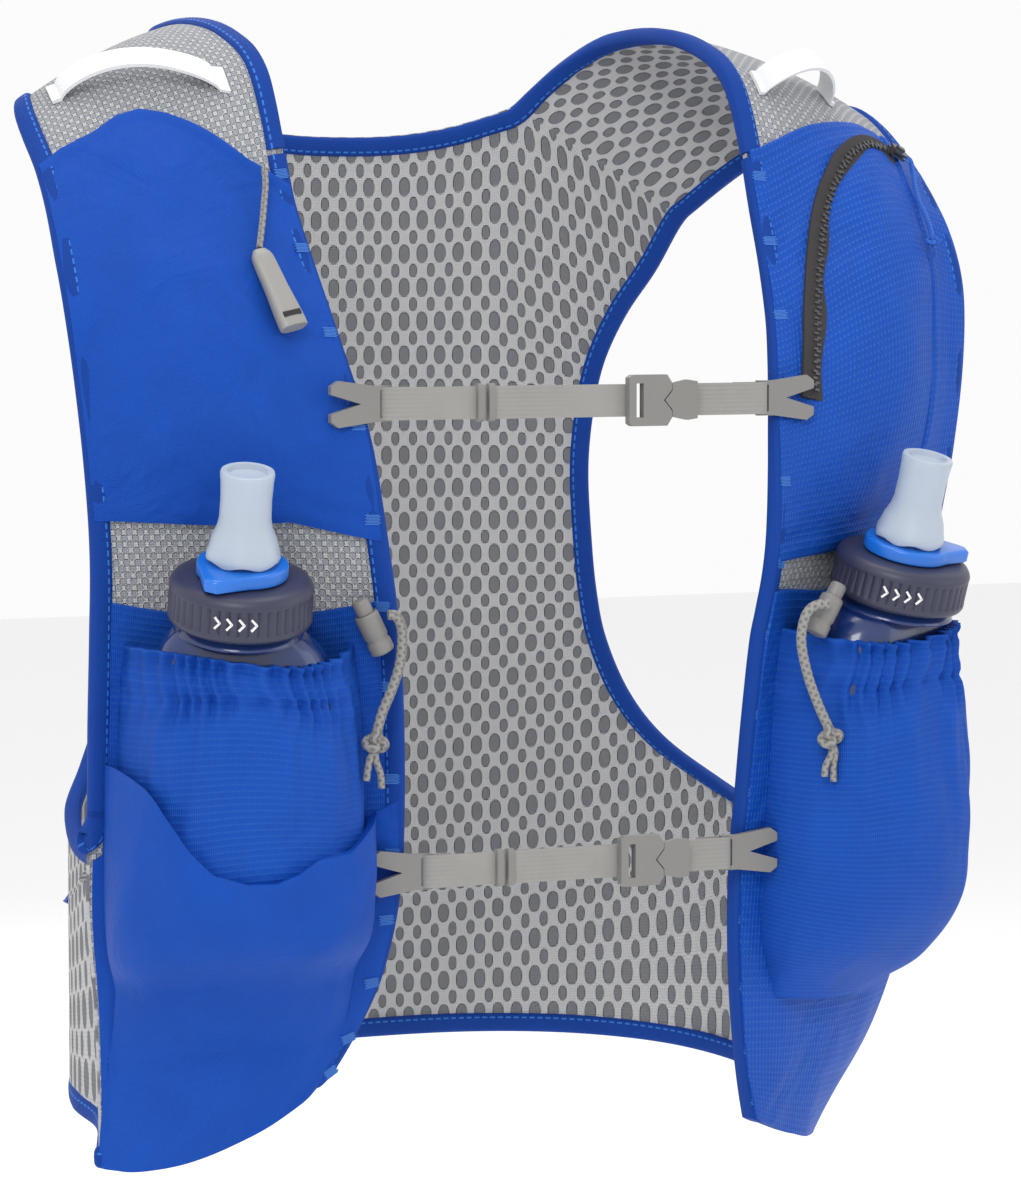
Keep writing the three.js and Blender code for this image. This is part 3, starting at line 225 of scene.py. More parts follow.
def topCurve(s):
    a = np.abs(s)
    found = []
    for side in ("right", "left"):
        corner = panelBase(side, 0.0, 0.0)
        middle = regularBack(0.0, 0.0)
        q = a / neckShare
        near = np.stack([corner[0] * q, mix(middle[1], corner[1], q ** 2), mix(middle[2], corner[2], q ** 2.4)], -1)
        far = panelBase(side, (a - neckShare) / (1 - neckShare), 0.0)
        found.append(np.where((a >= neckShare)[..., None], far, near))
    return np.where((s < 0)[..., None], found[0], found[1])


def backBase(s, v):
    s, v = np.broadcast_arrays(np.asarray(s, float), np.asarray(v, float))
    fade = np.clip(1 - v / .28, 0, 1) ** 2
    return regularBack(s, v) + (topCurve(s) - regularBack(s, np.zeros_like(v))) * fade[..., None]


def backFrame(s, v):
    return frameOf(backBase, s, v, 1)


def backPoint(s, v, offset=0.0):
    place, _, _, out = backFrame(s, v)
    return place + out * np.asarray(offset, float)[..., None]


# Meshes
def makeMesh(name, vertices, faces, uvs, material, slotName, replaced=(), body="vest", sharp=50):
    mesh = bpy.data.meshes.new(name)
    mesh.from_pydata((np.asarray(vertices) * .001).tolist(), [], [tuple(f) for f in faces])
    layer = mesh.uv_layers.new(name="clothUv")
    corners = np.zeros(len(mesh.loops), int)
    mesh.loops.foreach_get("vertex_index", corners)
    layer.data.foreach_set("uv", np.asarray(uvs, float)[corners].ravel())
    mesh.polygons.foreach_set("use_smooth", [True] * len(mesh.polygons))
    mesh.update()
    mesh.set_sharp_from_angle(angle=math.radians(sharp))
    mesh.materials.append(material)
    piece = bpy.data.objects.new(name, mesh)
    bpy.context.scene.collection.objects.link(piece)
    if replaced:
        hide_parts(*replaced)
    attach(piece, body)
    return piece


def gridUv(grid):
    rows, columns = grid.shape[:2]
    across = np.zeros((rows, columns))
    across[:, 1:] = np.cumsum(stepsOf(grid, 1), axis=1)
    across -= across[:, columns // 2][:, None]
    down = np.zeros(rows)
    down[1:] = np.cumsum(stepsOf(grid[:, columns // 2]))
    return np.stack([across, np.repeat(down[:, None], columns, 1)], -1).reshape(-1, 2)


# A closed wall of cloth between two grids of points
def wallMesh(name, outer, inner, material, slotName, replaced=(), flip=False, inside=None, **more):
    rows, columns = outer.shape[:2]
    index = np.arange(rows * columns).reshape(rows, columns)
    a, b, c, d = index[:-1, :-1].ravel(), index[:-1, 1:].ravel(), index[1:, 1:].ravel(), index[1:, :-1].ravel()
    far = rows * columns
    faces = [*np.stack([a, b, c, d], 1).tolist(), *np.stack([a + far, d + far, c + far, b + far], 1).tolist()]
    rim = [*index[0, :], *index[1:, -1], *index[-1, -2::-1], *index[-2:0:-1, 0]]
    for k, one in enumerate(rim):
        two = rim[(k + 1) % len(rim)]
        faces.append([one, one + far, two + far, two])
    if flip:
        faces = [f[::-1] for f in faces]
    vertices = np.concatenate([outer.reshape(-1, 3), inner.reshape(-1, 3)])
    uv = gridUv(outer)
    piece = makeMesh(name, vertices, faces, np.concatenate([uv, uv]), material, slotName, replaced, **more)
    if inside is not None:
        piece.data.materials.append(inside)
        piece.data.polygons.foreach_set("material_index", [int(len(a) <= k < 2 * len(a)) for k in range(len(faces))])
    return piece


# A body through rings of points, (rings, points of a ring, 3)
def loftData(rings, closed=False):
    count, around = rings.shape[:2]
    faces = []
    k = np.arange(around)
    n = (k + 1) % around
    for i in range(count if closed else count - 1):
        a, b = i * around, ((i + 1) % count) * around
        faces += np.stack([a + k, a + n, b + n, b + k], 1).tolist()
    if not closed:
        faces += [k[::-1].tolist(), (k + (count - 1) * around).tolist()]
    along = np.zeros(count)
    along[1:] = np.cumsum(stepsOf(rings.mean(1)))
    girth = np.zeros(around)
    girth[1:] = np.cumsum(stepsOf(rings[count // 2]))
    uv = np.stack(np.broadcast_arrays(along[:, None], girth[None]), -1).reshape(-1, 2)
    return rings.reshape(-1, 3), faces, uv


def loftMesh(name, rings, material, slotName, replaced=(), flip=False, **more):
    vertices, faces, uv = loftData(rings)
    if flip:
        faces = [f[::-1] for f in faces]
    return makeMesh(name, vertices, faces, uv, material, slotName, replaced, **more)


def joinData(pieces):
    vertices, faces, uvs, offset = [], [], [], 0
    for v, f, uv in pieces:
        vertices.append(np.asarray(v))
        faces += [[i + offset for i in face] for face in f]
        uvs.append(np.asarray(uv))
        offset += len(v)
    return np.concatenate(vertices), faces, np.concatenate(uvs)


def smoothRows(rows, times, closed=False):
    rows = np.asarray(rows, float)
    count = len(rows)
    ends = count if closed else count - 1
    x = np.linspace(0, ends, ends * times + (0 if closed else 1), endpoint=not closed)
    i = np.minimum(np.floor(x).astype(int), ends - 1)
    t = (x - i).reshape(-1, *([1] * (rows.ndim - 1)))
    pick = (lambda k: rows[(i + k) % count]) if closed else (lambda k: rows[np.clip(i + k, 0, count - 1)])
    return curveBetween(pick(-1), pick(0), pick(1), pick(2), t)


def evenly(points, count):
    steps = np.concatenate([[0], np.cumsum(stepsOf(points))])
    at = np.linspace(0, steps[-1], count)
    return np.stack([np.interp(at, steps, points[:, k]) for k in range(3)], -1)


def tubeRings(points, radius, around=14):
    tangent = unit(np.gradient(points, axis=0))
    side = unit(np.cross(tangent[0], [.31, .2, .93]))
    rings = []
    angle = circleAngles(around)
    radius = np.broadcast_to(radius, (len(points),))
    for p, t, r in zip(points, tangent, radius):
        side = unit(side - t * np.dot(side, t))
        other = np.cross(t, side)
        rings.append(p + r * roundOf(angle, side, other))
    return np.array(rings)


def wave(x, y, seed=0.0):
    return (np.sin(x + 1.3 * np.sin(y * 1.7 + seed) + seed) * .6 + np.sin(x * 2.3 + y * 1.1 + seed * 2.1) * .28
            + np.sin(y * 2.9 - x * .7 + seed) * .22)


# Shader effects
def socketOf(tree, node, number, value):
    if isinstance(value, bpy.types.NodeSocket):
        tree.links.new(value, node.inputs[number])
    elif value is not None:
        node.inputs[number].default_value = value


def figure(tree, operation, a, b=None, c=None, clamp=False):
    node = tree.nodes.new("ShaderNodeMath")
    node.operation = operation
    node.use_clamp = clamp
    for k, value in enumerate((a, b, c)):
        socketOf(tree, node, k, value)
    return node.outputs[0]


def splitVector(tree, vector):
    node = tree.nodes.new("ShaderNodeSeparateXYZ")
    tree.links.new(vector, node.inputs[0])
    return node.outputs[0], node.outputs[1], node.outputs[2]


def newGroup(name, inputs, outputs):
    tree = bpy.data.node_groups.new(name, "ShaderNodeTree")
    for label, kind, value in inputs:
        made = tree.interface.new_socket(name=label, in_out="INPUT", socket_type=kind)
        if value is not None:
            made.default_value = value
    for label, kind in outputs:
        tree.interface.new_socket(name=label, in_out="OUTPUT", socket_type=kind)
    return tree, tree.nodes.new("NodeGroupInput").outputs, tree.nodes.new("NodeGroupOutput").inputs


valueSocket, vectorSocket = "NodeSocketFloat", "NodeSocketVector"


def buildMeshHoles():
    tree, given, wanted = newGroup("meshHoles", [
        ("Cloth", vectorSocket, None), ("Pitch Across", valueSocket, 8.0), ("Pitch Down", valueSocket, 14.0),
        ("Wide", valueSocket, 2.0), ("Tall", valueSocket, 3.3), ("Small", valueSocket, .55),
    ], [("Hole", valueSocket), ("Height", valueSocket)])
    x, y, _ = splitVector(tree, given["Cloth"])
    rings = []
    for shift, small in ((0.0, False), (.5, True)):
        local = []
        for value, pitch, radius in ((x, "Pitch Across", "Wide"), (y, "Pitch Down", "Tall")):
            cells = figure(tree, "DIVIDE", value, given[pitch])
            share = figure(tree, "FRACT", figure(tree, "ADD", cells, shift + 100.0))
            away = figure(tree, "MULTIPLY", figure(tree, "SUBTRACT", share, .5), given[pitch])
            reach = figure(tree, "MULTIPLY", given[radius], given["Small"]) if small else given[radius]
            local.append(figure(tree, "POWER", figure(tree, "ABSOLUTE", figure(tree, "DIVIDE", away, reach)), 2.2))
        rings.append(figure(tree, "ADD", local[0], local[1]))
    nearest = figure(tree, "MINIMUM", rings[0], rings[1])
    ramp = tree.nodes.new("ShaderNodeMapRange")
    ramp.interpolation_type = "SMOOTHSTEP"
    for k, value in enumerate((nearest, 1.25, .7, 0.0, 1.0)):
        socketOf(tree, ramp, k, value)
    tree.links.new(ramp.outputs[0], wanted["Hole"])
    tree.links.new(figure(tree, "SUBTRACT", 1.0, ramp.outputs[0]), wanted["Height"])
    return tree


def buildWeave():
    tree, given, wanted = newGroup("threadWeave", [
        ("Cloth", vectorSocket, None), ("Across", valueSocket, 1.0), ("Down", valueSocket, 1.0),
        ("Grid", valueSocket, 0.0),
    ], [("Height", valueSocket), ("Shade", valueSocket)])
    x, y, _ = splitVector(tree, given["Cloth"])
    lines = []
    for value, pitch in ((x, "Across"), (y, "Down")):
        turn = figure(tree, "MULTIPLY", figure(tree, "DIVIDE", value, given[pitch]), 2 * math.pi)
        lines.append(figure(tree, "MULTIPLY_ADD", figure(tree, "SINE", turn), .5, .5))
    weave = figure(tree, "MULTIPLY", lines[0], lines[1])
    ridges = figure(tree, "MULTIPLY", figure(tree, "MAXIMUM", figure(tree, "POWER", lines[0], 8.0),
                                             figure(tree, "POWER", lines[1], 8.0)), given["Grid"])
    height = figure(tree, "ADD", weave, ridges)
    tree.links.new(height, wanted["Height"])
    noise = tree.nodes.new("ShaderNodeTexNoise")
    tree.links.new(given["Cloth"], noise.inputs["Vector"])
    noise.inputs["Scale"].default_value = .05
    noise.inputs["Detail"].default_value = 5.0
    fine = figure(tree, "MULTIPLY", height, .18)
    tree.links.new(figure(tree, "MULTIPLY_ADD", noise.outputs[0], .7, fine), wanted["Shade"])
    return tree


def buildStitches():
    tree, given, wanted = newGroup("stitchRow", [
        ("Cloth", vectorSocket, None), ("Line", valueSocket, 0.0), ("Width", valueSocket, .35),
        ("Pitch", valueSocket, 3.2), ("Fill", valueSocket, .62),
    ], [("Thread", valueSocket)])
    x, y, _ = splitVector(tree, given["Cloth"])
    away = figure(tree, "ABSOLUTE", figure(tree, "SUBTRACT", y, given["Line"]))
    near = figure(tree, "LESS_THAN", away, given["Width"])
    dash = figure(tree, "LESS_THAN", figure(tree, "FRACT", figure(
        tree, "ADD", figure(tree, "DIVIDE", x, given["Pitch"]), 100.0)), given["Fill"])
    tree.links.new(figure(tree, "MULTIPLY", near, dash), wanted["Thread"])
    return tree


# Height drives the crease bumps. Shade is the same noise used for colour: painted crease shade on the mesh, painted
# crease highlight on the cloth, and grain tone on the plastics.
def buildCreases():
    tree, given, wanted = newGroup("softCreases", [
        ("Place", vectorSocket, None), ("Scale", valueSocket, 30.0),
    ], [("Height", valueSocket), ("Shade", valueSocket)])
    noise = tree.nodes.new("ShaderNodeTexNoise")
    tree.links.new(given["Place"], noise.inputs["Vector"])
    tree.links.new(given["Scale"], noise.inputs["Scale"])
    noise.inputs["Detail"].default_value = 3.0
    noise.inputs["Distortion"].default_value = 1.2
    fine = tree.nodes.new("ShaderNodeTexNoise")
    tree.links.new(given["Place"], fine.inputs["Vector"])
    tree.links.new(figure(tree, "MULTIPLY", given["Scale"], 14.0), fine.inputs["Scale"])
    tree.links.new(noise.outputs[0], wanted["Height"])
    tree.links.new(figure(tree, "MULTIPLY_ADD", fine.outputs[0], .3, figure(tree, "MULTIPLY", noise.outputs[0], .7)),
                   wanted["Shade"])
    return tree


def darker(colour, share=.6):
    return tuple(share * c for c in colour)


effects = {"holes": buildMeshHoles(), "weave": buildWeave(), "stitches": buildStitches(), "creases": buildCreases()}


def startMaterial(name, roughness):
    material = bpy.data.materials.new(name)
    material.use_nodes = True
    tree = material.node_tree
    shader = tree.nodes["Principled BSDF"]
    shader.inputs["Roughness"].default_value = roughness
    uv = tree.nodes.new("ShaderNodeUVMap")
    uv.uv_map = "clothUv"
    place = tree.nodes.new("ShaderNodeTexCoord")
    return material, tree, shader, uv.outputs[0], place.outputs["Object"]


def useEffect(tree, name, vector, values):
    node = tree.nodes.new("ShaderNodeGroup")
    node.node_tree = effects[name]
    tree.links.new(vector, node.inputs[0])
    for label, value in values.items():
        node.inputs[label].default_value = value
    return node.outputs


def mixColour(tree, share, one, two):
    node = tree.nodes.new("ShaderNodeMix")
    node.data_type = "RGBA"
    socketOf(tree, node, 0, share)
    for number, value in ((6, one), (7, two)):
        if isinstance(value, bpy.types.NodeSocket):
            tree.links.new(value, node.inputs[number])
        else:
            node.inputs[number].default_value = (*value, 1)
    return node.outputs[2]


def bump(tree, height, distance, strength=1.0, before=None):
    node = tree.nodes.new("ShaderNodeBump")
    tree.links.new(height, node.inputs["Height"])
    node.inputs["Distance"].default_value = distance
    node.inputs["Strength"].default_value = strength
    if before is not None:
        tree.links.new(before, node.inputs["Normal"])
    return node.outputs[0]


def meshMaterial(name, pitch, hole, base, deep):
    material, tree, shader, uv, place = startMaterial(name, .85)
    holes = useEffect(tree, "holes", uv, {"Pitch Across": pitch[0], "Pitch Down": pitch[1], "Wide": hole[0],
                                          "Tall": hole[1], "Small": hole[2]})
    weave = useEffect(tree, "weave", uv, {"Across": .9, "Down": .9})
    creases = useEffect(tree, "creases", place, {"Scale": 12.0})
    plain = mixColour(tree, figure(tree, "MULTIPLY", weave["Height"], .35), base, darker(base, .72))
    # Painted shade: the colour darkens in patches along the crease noise, as shade in creases.
    plain = mixColour(tree, figure(tree, "MULTIPLY", creases["Shade"], .25), plain, darker(base, .8))
    # Painted shade: the holes are not cut through; they are coloured dark, as the shade inside them.
    holeShadeShare = figure(tree, "MULTIPLY", holes["Hole"], .88)
    tree.links.new(mixColour(tree, holeShadeShare, plain, deep), shader.inputs["Base Color"])
    normal = bump(tree, weave["Height"], .00035, .7)
    tree.links.new(bump(tree, holes["Height"], .0016, .9, normal), shader.inputs["Normal"])
    return material


def clothMaterial(name, base, deep, roughness, across, down, grid=0.0, gloss=.18,
                  creaseScale=26.0, creaseDepth=.004, light=.9):
    material, tree, shader, uv, place = startMaterial(name, roughness)
    weave = useEffect(tree, "weave", uv, {"Across": across, "Down": down, "Grid": grid})
    creases = useEffect(tree, "creases", place, {"Scale": creaseScale})
    shade = figure(tree, "MULTIPLY", weave["Shade"], .75)
    colour = mixColour(tree, shade, base, deep)
    # Painted highlight: the colour turns lighter where the crease noise rises, as if the crests of the creases catch
    # light.
    colour = mixColour(tree, figure(tree, "MULTIPLY", creases["Shade"], .5), colour, darker(base, 1.25))
    # Painted highlight: the tops of the weave ridges turn a lighter blue, as if lit; light sets how strong it is.
    ridge = figure(tree, "SUBTRACT", weave["Height"], .72, clamp=True)
    colour = mixColour(tree, figure(tree, "MULTIPLY", ridge, light), colour, colours["royalRidgeHighlight"])
    tree.links.new(colour, shader.inputs["Base Color"])
    shader.inputs["Specular IOR Level"].default_value = gloss
    soft = bump(tree, creases["Height"], creaseDepth, .8)
    tree.links.new(bump(tree, weave["Height"], .00022, .7, soft), shader.inputs["Normal"])
    return material


stitchPitch = 3.4


def tapeMaterial(name, base, deep, lines):
    material, tree, shader, uv, _ = startMaterial(name, .7)
    shader.inputs["Specular IOR Level"].default_value = .2
    weave = useEffect(tree, "weave", uv, {"Across": .8, "Down": .7})
    colour = mixColour(tree, figure(tree, "MULTIPLY", weave["Shade"], .8), base, deep)
    thread = None
    for line in lines:
        row = useEffect(tree, "stitches", uv, {"Line": line, "Pitch": stitchPitch})["Thread"]
        thread = row if thread is None else figure(tree, "MAXIMUM", thread, row)
    normal = bump(tree, weave["Height"], .0002, .7)
    if thread is not None:
        colour = mixColour(tree, thread, colour, colours["thread"])
        normal = bump(tree, thread, .0004, .8, normal)
    tree.links.new(colour, shader.inputs["Base Color"])
    tree.links.new(normal, shader.inputs["Normal"])
    return material


def moldedMaterial(name, base, roughness, coat=0.0, grain=.00006, through=0.0):
    material, tree, shader, _, place = startMaterial(name, roughness)
    creases = useEffect(tree, "creases", place, {"Scale": 60.0})
    tree.links.new(mixColour(tree, figure(tree, "MULTIPLY", creases["Shade"], .5), base, darker(base, .78)),
                   shader.inputs["Base Color"])
    tree.links.new(figure(tree, "MULTIPLY_ADD", creases["Shade"], .16, roughness - .08), shader.inputs["Roughness"])
    tree.links.new(bump(tree, creases["Shade"], grain, .7), shader.inputs["Normal"])
    shader.inputs["Coat Weight"].default_value = coat
    shader.inputs["Transmission Weight"].default_value = through
    return material


def cordMaterial(name, base, deep, thick):
    material, tree, shader, uv, _ = startMaterial(name, .8)
    x, y, _ = splitVector(tree, uv)
    turns = figure(tree, "MULTIPLY", x, 2 * math.pi / (thick * .8))
    lean = figure(tree, "MULTIPLY", y, 2 * math.pi / (thick * math.pi / 3))
    one = figure(tree, "SINE", figure(tree, "ADD", turns, lean))
    two = figure(tree, "SINE", figure(tree, "SUBTRACT", turns, lean))
    braid = figure(tree, "MULTIPLY_ADD", figure(tree, "MAXIMUM", one, two), .5, .5)
    # Painted shade: the grooves between the braid strands are coloured darker, and the cords' deep colour is that
    # shade.
    tree.links.new(mixColour(tree, braid, deep, base), shader.inputs["Base Color"])
    tree.links.new(bump(tree, braid, .0003, .8), shader.inputs["Normal"])
    return material


looks = {
    # The dark colour given after each mesh colour is painted shade for the holes.
    "mesh": meshMaterial("spacerMesh", (7.9, 13.6), (2.35, 3.7, .72), colours["mesh"], colours["meshHoleShade"]),
    "fineMesh": meshMaterial("fineSpacerMesh", (4.0, 4.6), (1.25, 1.35, .98), colours["mesh"], (.26, .28, .31)),
    "tape": tapeMaterial("edgeTape", colours["edge"], colours["royalDeep"], (-2.2,)),
    "stretch": clothMaterial("stretchCloth", colours["royal"], colours["royalDeep"], .62, .8, 2.3, .55, light=1.1),
    "plain": clothMaterial("plainWeaveCloth", colours["royal"], colours["royalDeep"], .6, .7, .7, light=.5),
    "ripstop": clothMaterial("ripstopCloth", colours["royal"], colours["royalDeep"], .5, 1.9, 2.9, .8, light=.8),
    "zip": tapeMaterial("zipTape", colours["zipTape"], darker(colours["zipTape"]), ()),
    "band": tapeMaterial("reflectiveBand", colours["band"], darker(colours["band"], .85), ()),
    "webbing": clothMaterial("greyWebbing", colours["grey"], darker(colours["grey"]), .8, 1.6, 60.0, 0, .3,
                             60.0, .0002, 0),
    "greyCord": cordMaterial("greyCord", colours["grey"], darker(colours["grey"], .45), 3.7),
    "blueCord": cordMaterial("blueCord", colours["blueCord"], darker(colours["blueCord"], .45), 2.0),
    "hardware": moldedMaterial("greyHardware", colours["hardware"], .42),
    "slider": moldedMaterial("darkSlider", (.045, .045, .05), .35, .3),
    "film": moldedMaterial("flaskFilm", colours["film"], .22, .5, .0001, .08),
    "cap": moldedMaterial("screwCap", colours["cap"], .42),
    "lever": moldedMaterial("leverBlue", colours["lever"], .3, .2),
    "valve": moldedMaterial("softValve", colours["valve"], .38, .1, .00005, .35),
    "whistle": moldedMaterial("whistleBody", colours["grey"], .4),
    # A near-black colour as painted shade for the whistle's slot.
    "dark": moldedMaterial("paintedSlotShade", (.01, .01, .012), .6),
    "thread": moldedMaterial("sewingThread", colours["thread"], .6),
    "print": moldedMaterial("whitePrint", colours["pureWhite"], .5),
}
print("materials ready")

# Camera at the photo's angle
view = {
    "azimuth": -27.0, "elevation": 4.032932, "distance": 1926.6036,
    "acrossMm": 25.66876, "upMm": -222.03508, "lens": 149.357,
}
azimuth, elevation = math.radians(view["azimuth"]), math.radians(view["elevation"])
back = Vector((math.sin(azimuth) * math.cos(elevation), -math.cos(azimuth) * math.cos(elevation), math.sin(elevation)))
rightward = Vector((math.cos(azimuth), math.sin(azimuth), 0))
upward = back.cross(rightward)
cameraData = bpy.data.cameras.new("photoCamera")
cameraData.sensor_fit = "VERTICAL"
cameraData.sensor_height = 36
cameraData.sensor_width = 36
cameraData.lens = view["lens"]
camera = bpy.data.objects.new("photoCamera", cameraData)
bpy.context.scene.collection.objects.link(camera)
camera.matrix_world = Matrix.Translation(
    (back * view["distance"] + rightward * view["acrossMm"] + upward * view["upMm"]) * .001
) @ Matrix((rightward, upward, back)).transposed().to_4x4()
bpy.context.scene.camera = camera

# Cords
lockCord = 3.74
cordRoutes = {
    "cord_front_right": [[-83.6, -123.6, -217.5], [-80.8, -124.1, -218], [-78.4, -123.6, -222], [-77.6, -122.6, -228],
                         [-78.4, -122.1, -236], [-81.4, -121.6, -245], [-84.9, -121.1, -253], [-86.9, -121.1, -259.5]],
    "cord_front_left": [[95.7, -130.8, -218.9], [90.4, -131.3, -219.2], [86.7, -131.2, -221.9], [84.8, -130.9, -227.4],
                        [84.4, -131.1, -234.3], [87, -131.3, -245.3], [91.3, -131.5, -256.2], [95.4, -131.9, -264.7]],
    "whistle_cord": [[-110.3, -75.6, -56.7], [-111, -78, -62.6], [-112.2, -79.6, -68.1], [-114.6, -83.2, -76.1],
                     [-117.8, -87.6, -85.5]],
    "zipper_pull": [[176.6, -57.4, -52.6], [175.9, -60.2, -56.8], [173.4, -65.6, -61.9], [171.8, -70.9, -67.2],
                    [171.3, -76.1, -72.2], [171.1, -79.9, -76.7], [170.4, -83.1, -80.4]],
}
cordFacts = {
    "cord_front_right": {"thick": lockCord, "look": "greyCord", "slot": "grey_cord", "farEnd": "knot"},
    "cord_front_left": {"thick": lockCord, "look": "greyCord", "slot": "grey_cord", "farEnd": "knot"},
    "whistle_cord": {"thick": 2.4, "look": "greyCord", "slot": "grey_cord", "farEnd": "fitting"},
    "zipper_pull": {"thick": 2.0, "look": "blueCord", "slot": "blue_cord", "farEnd": "knot"},
}
cordPieces = {}
for cordName, route in cordRoutes.items():
    facts = cordFacts[cordName]
    line = evenly(smoothRows(route, 12), 60)
    rings = tubeRings(line, facts["thick"] / 2)
    cordPiece = loftMesh(cordName + "_cloth", rings, looks[facts["look"]], facts["slot"], (cordName,))
    cordPieces[cordName] = (cordPiece, line)


def knotPiece(cordName, name, size, thick, tails, look, slotName):
    line = cordPieces[cordName][1]
    end = line[-1]
    away = unit(unit(end - line[-4]) + np.array([0, 0, -1.0]) * .8)
    across = unit(np.cross(away, [0, 1, 0]))
    depth = np.cross(across, away)
    t = circleAngles(90)
    loop = np.stack([np.sin(t) + 2 * np.sin(2 * t), np.cos(t) - 2 * np.cos(2 * t), -1.3 * np.sin(3 * t)], -1) / 3
    centre = end + away * size * .42
    middle = centre + (loop[:, :1] * across * .40 + loop[:, 1:2] * away * .42 + loop[:, 2:] * depth * .38) * size
    made = [loftData(tubeRings(np.concatenate([middle, middle[:1]]), thick / 2, 12))]
    for swing, length in tails:
        start = centre + away * size * .2
        path = smoothRows([start, start + away * size * .5 + across * swing * .5,
                           start + np.array([0, 0, -1]) * (size * .5 + length * .5) + across * swing,
                           start + np.array([0, 0, -1]) * (size * .5 + length) + across * swing * 1.2], 8)
        made.append(loftData(tubeRings(path, thick * .42, 12)))
    vertices, faces, uv = joinData(made)
    return makeMesh(name + "_tied", vertices, faces, uv, looks[look], slotName, (name,))


# name, size, thickness, tails as swing and length, look and slot
knotFacts = {
    "cord_front_right": ("cord_knot_right", 9.5, 3.1, [(2.2, 10), (-3.0, 8)], "greyCord", "grey_cord"),
    "cord_front_left": ("cord_knot_left", 9.5, 3.1, [(1.0, 11), (-2.4, 8)], "greyCord", "grey_cord"),
    "zipper_pull": ("pull_knot", 5.6, 1.9, [(.8, 3)], "blueCord", "blue_cord"),
}
knots = {cordName: knotPiece(cordName, *facts) for cordName, facts in knotFacts.items()}
print("cords ready")


def blockData(centre, along, across, out, size):
    corners = np.array([[x, y, z] for x in (-1, 1) for y in (-1, 1) for z in (-1, 1)]) * np.array(size) / 2
    vertices = centre + corners[:, :1] * along + corners[:, 1:2] * across + corners[:, 2:] * out
    faces = [[0, 1, 3, 2], [4, 6, 7, 5], [0, 4, 5, 1], [2, 3, 7, 6], [0, 2, 6, 4], [1, 5, 7, 3]]
    if np.dot(np.cross(along, across), out) < 0:
        faces = [f[::-1] for f in faces]
    return vertices, faces, corners[:, :2]


# Spacer mesh panels
meshGrid = {"panelAcross": 44, "panelDown": 190, "backAcross": 150, "backDown": 96}
for side in sides:
    u, v = np.meshgrid(np.linspace(.012, .988, meshGrid["panelAcross"]), np.linspace(0, .992, meshGrid["panelDown"]))
    place, _, _, out = panelFrame(side, u, v)
    wallMesh("panel_mesh_" + side + "_cloth", place, place - out * garment["meshWall"], looks["fineMesh"],
             "spacer_mesh", ("panel_mesh_" + side,), flip=side == "left", inside=looks["mesh"])
s, v = np.meshgrid(np.linspace(-.992, .992, meshGrid["backAcross"]), np.linspace(0, .988, meshGrid["backDown"]))
place, _, _, out = backFrame(s, v)
wallMesh("back_mesh_cloth", place, place - out * garment["meshWall"], looks["mesh"], "spacer_mesh", ("back_mesh",))
print("mesh panels ready")


# Edge tapes: point, inward and outward of each station along an edge
def innerStation(side, v):
    place, across, _, out = panelFrame(side, 0.0, v)
    return np.array([place, across, out])


def outerStation(side, v):
    place, across, _, out = panelFrame(side, 1.0, v)
    return np.array([place, -across, out])


def backTopStation(s):
    place, _, down, out = backFrame(s, 0.0)
    return np.array([place, down, out])


def backSideStation(side, v):
    place, across, _, out = backFrame(float(sides[side]), v)
    return np.array([place, across * -sides[side], out])


def backHemStation(s):
    place, _, down, out = backFrame(s, 1.0)
    return np.array([place, -down, out])


def frontHemStation(side, u):
    place, _, down, out = panelFrame(side, u, 1.0)
    return np.array([place, -down, out])


def blendStations(a, b):
    made = (a + b) / 2
    return np.array([made[0], unit(made[1]), unit(made[2])])


def spread(count, start=0.0, end=1.0):
    return np.linspace(start, end, count + 1)


neckHalf = {side: [innerStation(side, v) for v in spread(12, railStart - .004, .03)] for side in sides}
tapeLines = {
    "neck_binding": ([*neckHalf["left"], blendStations(innerStation("left", .005), backTopStation(.545)),
                      *[backTopStation(s) for s in spread(8, .50, -.50)],
                      blendStations(innerStation("right", .005), backTopStation(-.545)),
                      *neckHalf["right"][::-1]], False),
    "hem_binding": ([*[frontHemStation("right", u) for u in spread(5, .075, .96)],
                     blendStations(frontHemStation("right", 1.0), backHemStation(-1.0)),
                     *[backHemStation(s) for s in spread(12, -.96, .96)],
                     blendStations(frontHemStation("left", 1.0), backHemStation(1.0)),
                     *[frontHemStation("left", u) for u in spread(5, .96, .075)]], False),
}
seamRow = 11 / 14
for side in sides:
    tapeLines["edge_rail_" + side] = ([innerStation(side, v) for v in
                                       [*spread(3, railStart, .53), *spread(8, .55, .70), *spread(7, .74, 1)]], False)
    corner = blendStations(outerStation(side, armholeFoot), backSideStation(side, seamRow - .045))
    seamPoint = panelBase(side, 1.0, armholeFoot + garment["tapeWidth"] / panelPitch(side, .8) * .7)
    corner[0] = panelBase(side, 1.0, armholeFoot + .006)
    corner[1] = unit(seamPoint - corner[0])
    tapeLines["armhole_binding_" + side] = ([*[outerStation(side, v) for v in spread(18, armholeFoot - .006, .02)],
                                             *[backSideStation(side, v) for v in spread(14, .012, seamRow - .03)],
                                             *[backSideStation(side, seamRow - q) for q in (.022, .014)], corner], True)

